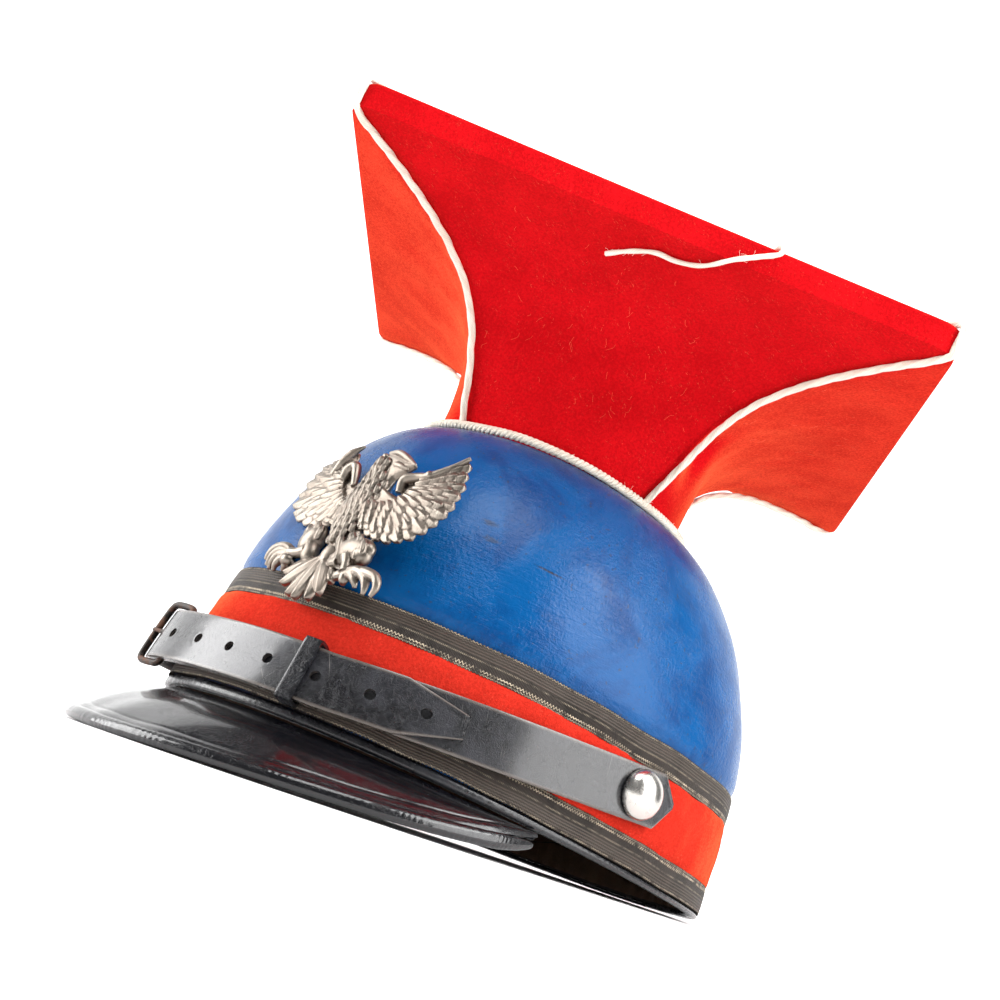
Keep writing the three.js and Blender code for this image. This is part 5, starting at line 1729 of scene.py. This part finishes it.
# Soft boxes: azimuth and height above the horizon in degrees, distance and size in metres.
SOFT_BOXES = {
    "left": {"azimuth": -132, "elevation": 14, "distance": 1.0, "size": (0.7, 0.9)},
    "right": {"azimuth": 24, "elevation": 16, "distance": 1.0, "size": (0.7, 0.9)},
    "front": {"azimuth": -42, "elevation": 62, "distance": 0.8, "size": (0.42, 0.36)},
    "high": {"azimuth": 20, "elevation": 44, "distance": 0.8, "size": (0.45, 0.3)},
}
# Wide boxes that give even light and do not show in glossy finishes.
SKY_BOXES = {
    "front": {"azimuth": -45, "elevation": 30, "distance": 1.7, "size": (2, 2)},
    "top": {"azimuth": 0, "elevation": 90, "distance": 1.7, "size": (2, 2)},
}


class HELMET_OT_stage(Step, bpy.types.Operator):
    """Set up the camera, the pale floor with its backdrop and the soft lights"""

    bl_idname = "helmet.stage"
    bl_label = "Camera and light"

    def build(self):
        scene = bpy.context.scene
        settings = scene.helmet_stage
        self.camera(scene, settings)
        self.paper(settings)
        for name, box in SOFT_BOXES.items():
            self.soft_box(name, getattr(settings, f"{name}_power"), box)
        for name, box in SKY_BOXES.items():
            self.soft_box(f"sky {name}", settings.sky_power, box).visible_glossy = False
        scene.world = bpy.data.worlds.new("Even light")
        scene.world.use_nodes = True
        background = scene.world.node_tree.nodes["Background"]
        background.inputs["Color"].default_value = (1, 1, 1, 1)
        background.inputs["Strength"].default_value = settings.ambient
        scene.view_settings.view_transform = "Standard"

    def camera(self, scene, settings):
        data = bpy.data.cameras.new("Camera")
        data.lens, data.sensor_width = settings.lens, 36
        data.clip_start = 0.01
        camera = bpy.data.objects.new("Camera", data)
        scene.collection.objects.link(camera)
        back = (CAMERA["place"] - CAMERA["target"]).normalized()
        right = (CAMERA["right"] - back * CAMERA["right"].dot(back)).normalized()
        turned = Matrix((right, back.cross(right), back)).transposed().to_4x4()
        camera.matrix_world = Matrix.Translation(CAMERA["place"]) @ turned
        scene.camera = camera

    def paper(self, settings):
        """Paper that lies flat under the helmet and sweeps up far behind it."""
        start, flat, bend, rise, width = -4, 2.5, 1.2, 4, 12
        curve = bend * math.pi / 2

        def place(u, v):
            away = start + (flat - start + curve + rise) * v
            turn = np.clip((away - flat) / bend, 0, math.pi / 2)
            risen = np.maximum(0, away - flat - curve)
            ahead = np.minimum(away, flat) + bend * np.sin(turn)
            return stack((u - 0.5) * width, ahead, bend * (1 - np.cos(turn)) + risen)

        paper = lay_out("paper", 40, 160, place, (width, width))
        facing = math.atan2(-CAMERA["place"].x, -CAMERA["place"].y)
        paper.data.transform(Matrix.Rotation(-facing, 4, "Z"))
        look = new_material("Paper", lambda solid, uv: plain_floor(solid, settings.backdrop, settings.glow))
        paper.data.materials.append(look)
        select(paper)
        bpy.ops.object.shade_smooth()

    def soft_box(self, name, power, box):
        azimuth, elevation = math.radians(box["azimuth"]), math.radians(box["elevation"])
        level = math.cos(elevation)
        aside = Vector((level * math.cos(azimuth), level * math.sin(azimuth), math.sin(elevation)))
        data = bpy.data.lights.new(f"Soft box {name}", "AREA")
        data.energy, data.shape = power, "RECTANGLE"
        data.size, data.size_y = box["size"]
        light = bpy.data.objects.new(f"Soft box {name}", data)
        light.location = Vector((0, 0, TOP_HEIGHT / 2)) + aside * box["distance"]
        light.rotation_euler = aside.to_track_quat("Z", "Y").to_euler()
        bpy.context.scene.collection.objects.link(light)
        return light


OPERATORS = [
    HELMET_OT_stage,
    HELMET_OT_loose_cord,
    HELMET_OT_skull,
    HELMET_OT_band,
    HELMET_OT_foot,
    HELMET_OT_crown,
    HELMET_OT_piping,
    HELMET_OT_rope,
    HELMET_OT_lint,
    HELMET_OT_peak,
    HELMET_OT_chin_strap,
    HELMET_OT_buttons,
    HELMET_OT_badge,
]


class HELMET_PT_panel(bpy.types.Panel):
    """Sizes, colours and the order in which the helmet is dressed"""

    bl_idname = "HELMET_PT_panel"
    bl_label = "Lancer's Helmet"
    bl_space_type = "VIEW_3D"
    bl_region_type = "UI"
    bl_category = "Helmet"

    def draw(self, context):
        for group in (context.scene.helmet_colours, context.scene.helmet_sizes, context.scene.helmet_stage):
            column = self.layout.column()
            for key in group.bl_rna.properties.keys():
                if key not in ("rna_type", "name"):
                    column.prop(group, key)
        for operator in OPERATORS:
            self.layout.operator(operator.bl_idname)


SETTINGS = {"helmet_colours": HelmetColours, "helmet_sizes": HelmetSizes, "helmet_stage": HelmetStage}
CLASSES = [*SETTINGS.values(), *OPERATORS, HELMET_PT_panel]


def register():
    for item in CLASSES:
        bpy.utils.register_class(item)
    for name, group in SETTINGS.items():
        setattr(bpy.types.Scene, name, bpy.props.PointerProperty(type=group))


def unregister():
    for name in SETTINGS:
        delattr(bpy.types.Scene, name)
    for item in reversed(CLASSES):
        bpy.utils.unregister_class(item)


def main():
    register()
    for operator in OPERATORS:
        group, name = operator.bl_idname.split(".")
        if getattr(getattr(bpy.ops, group), name)() != {"FINISHED"}:
            raise RuntimeError(f"{operator.bl_label} was not built")


if __name__ == "__main__":
    main()
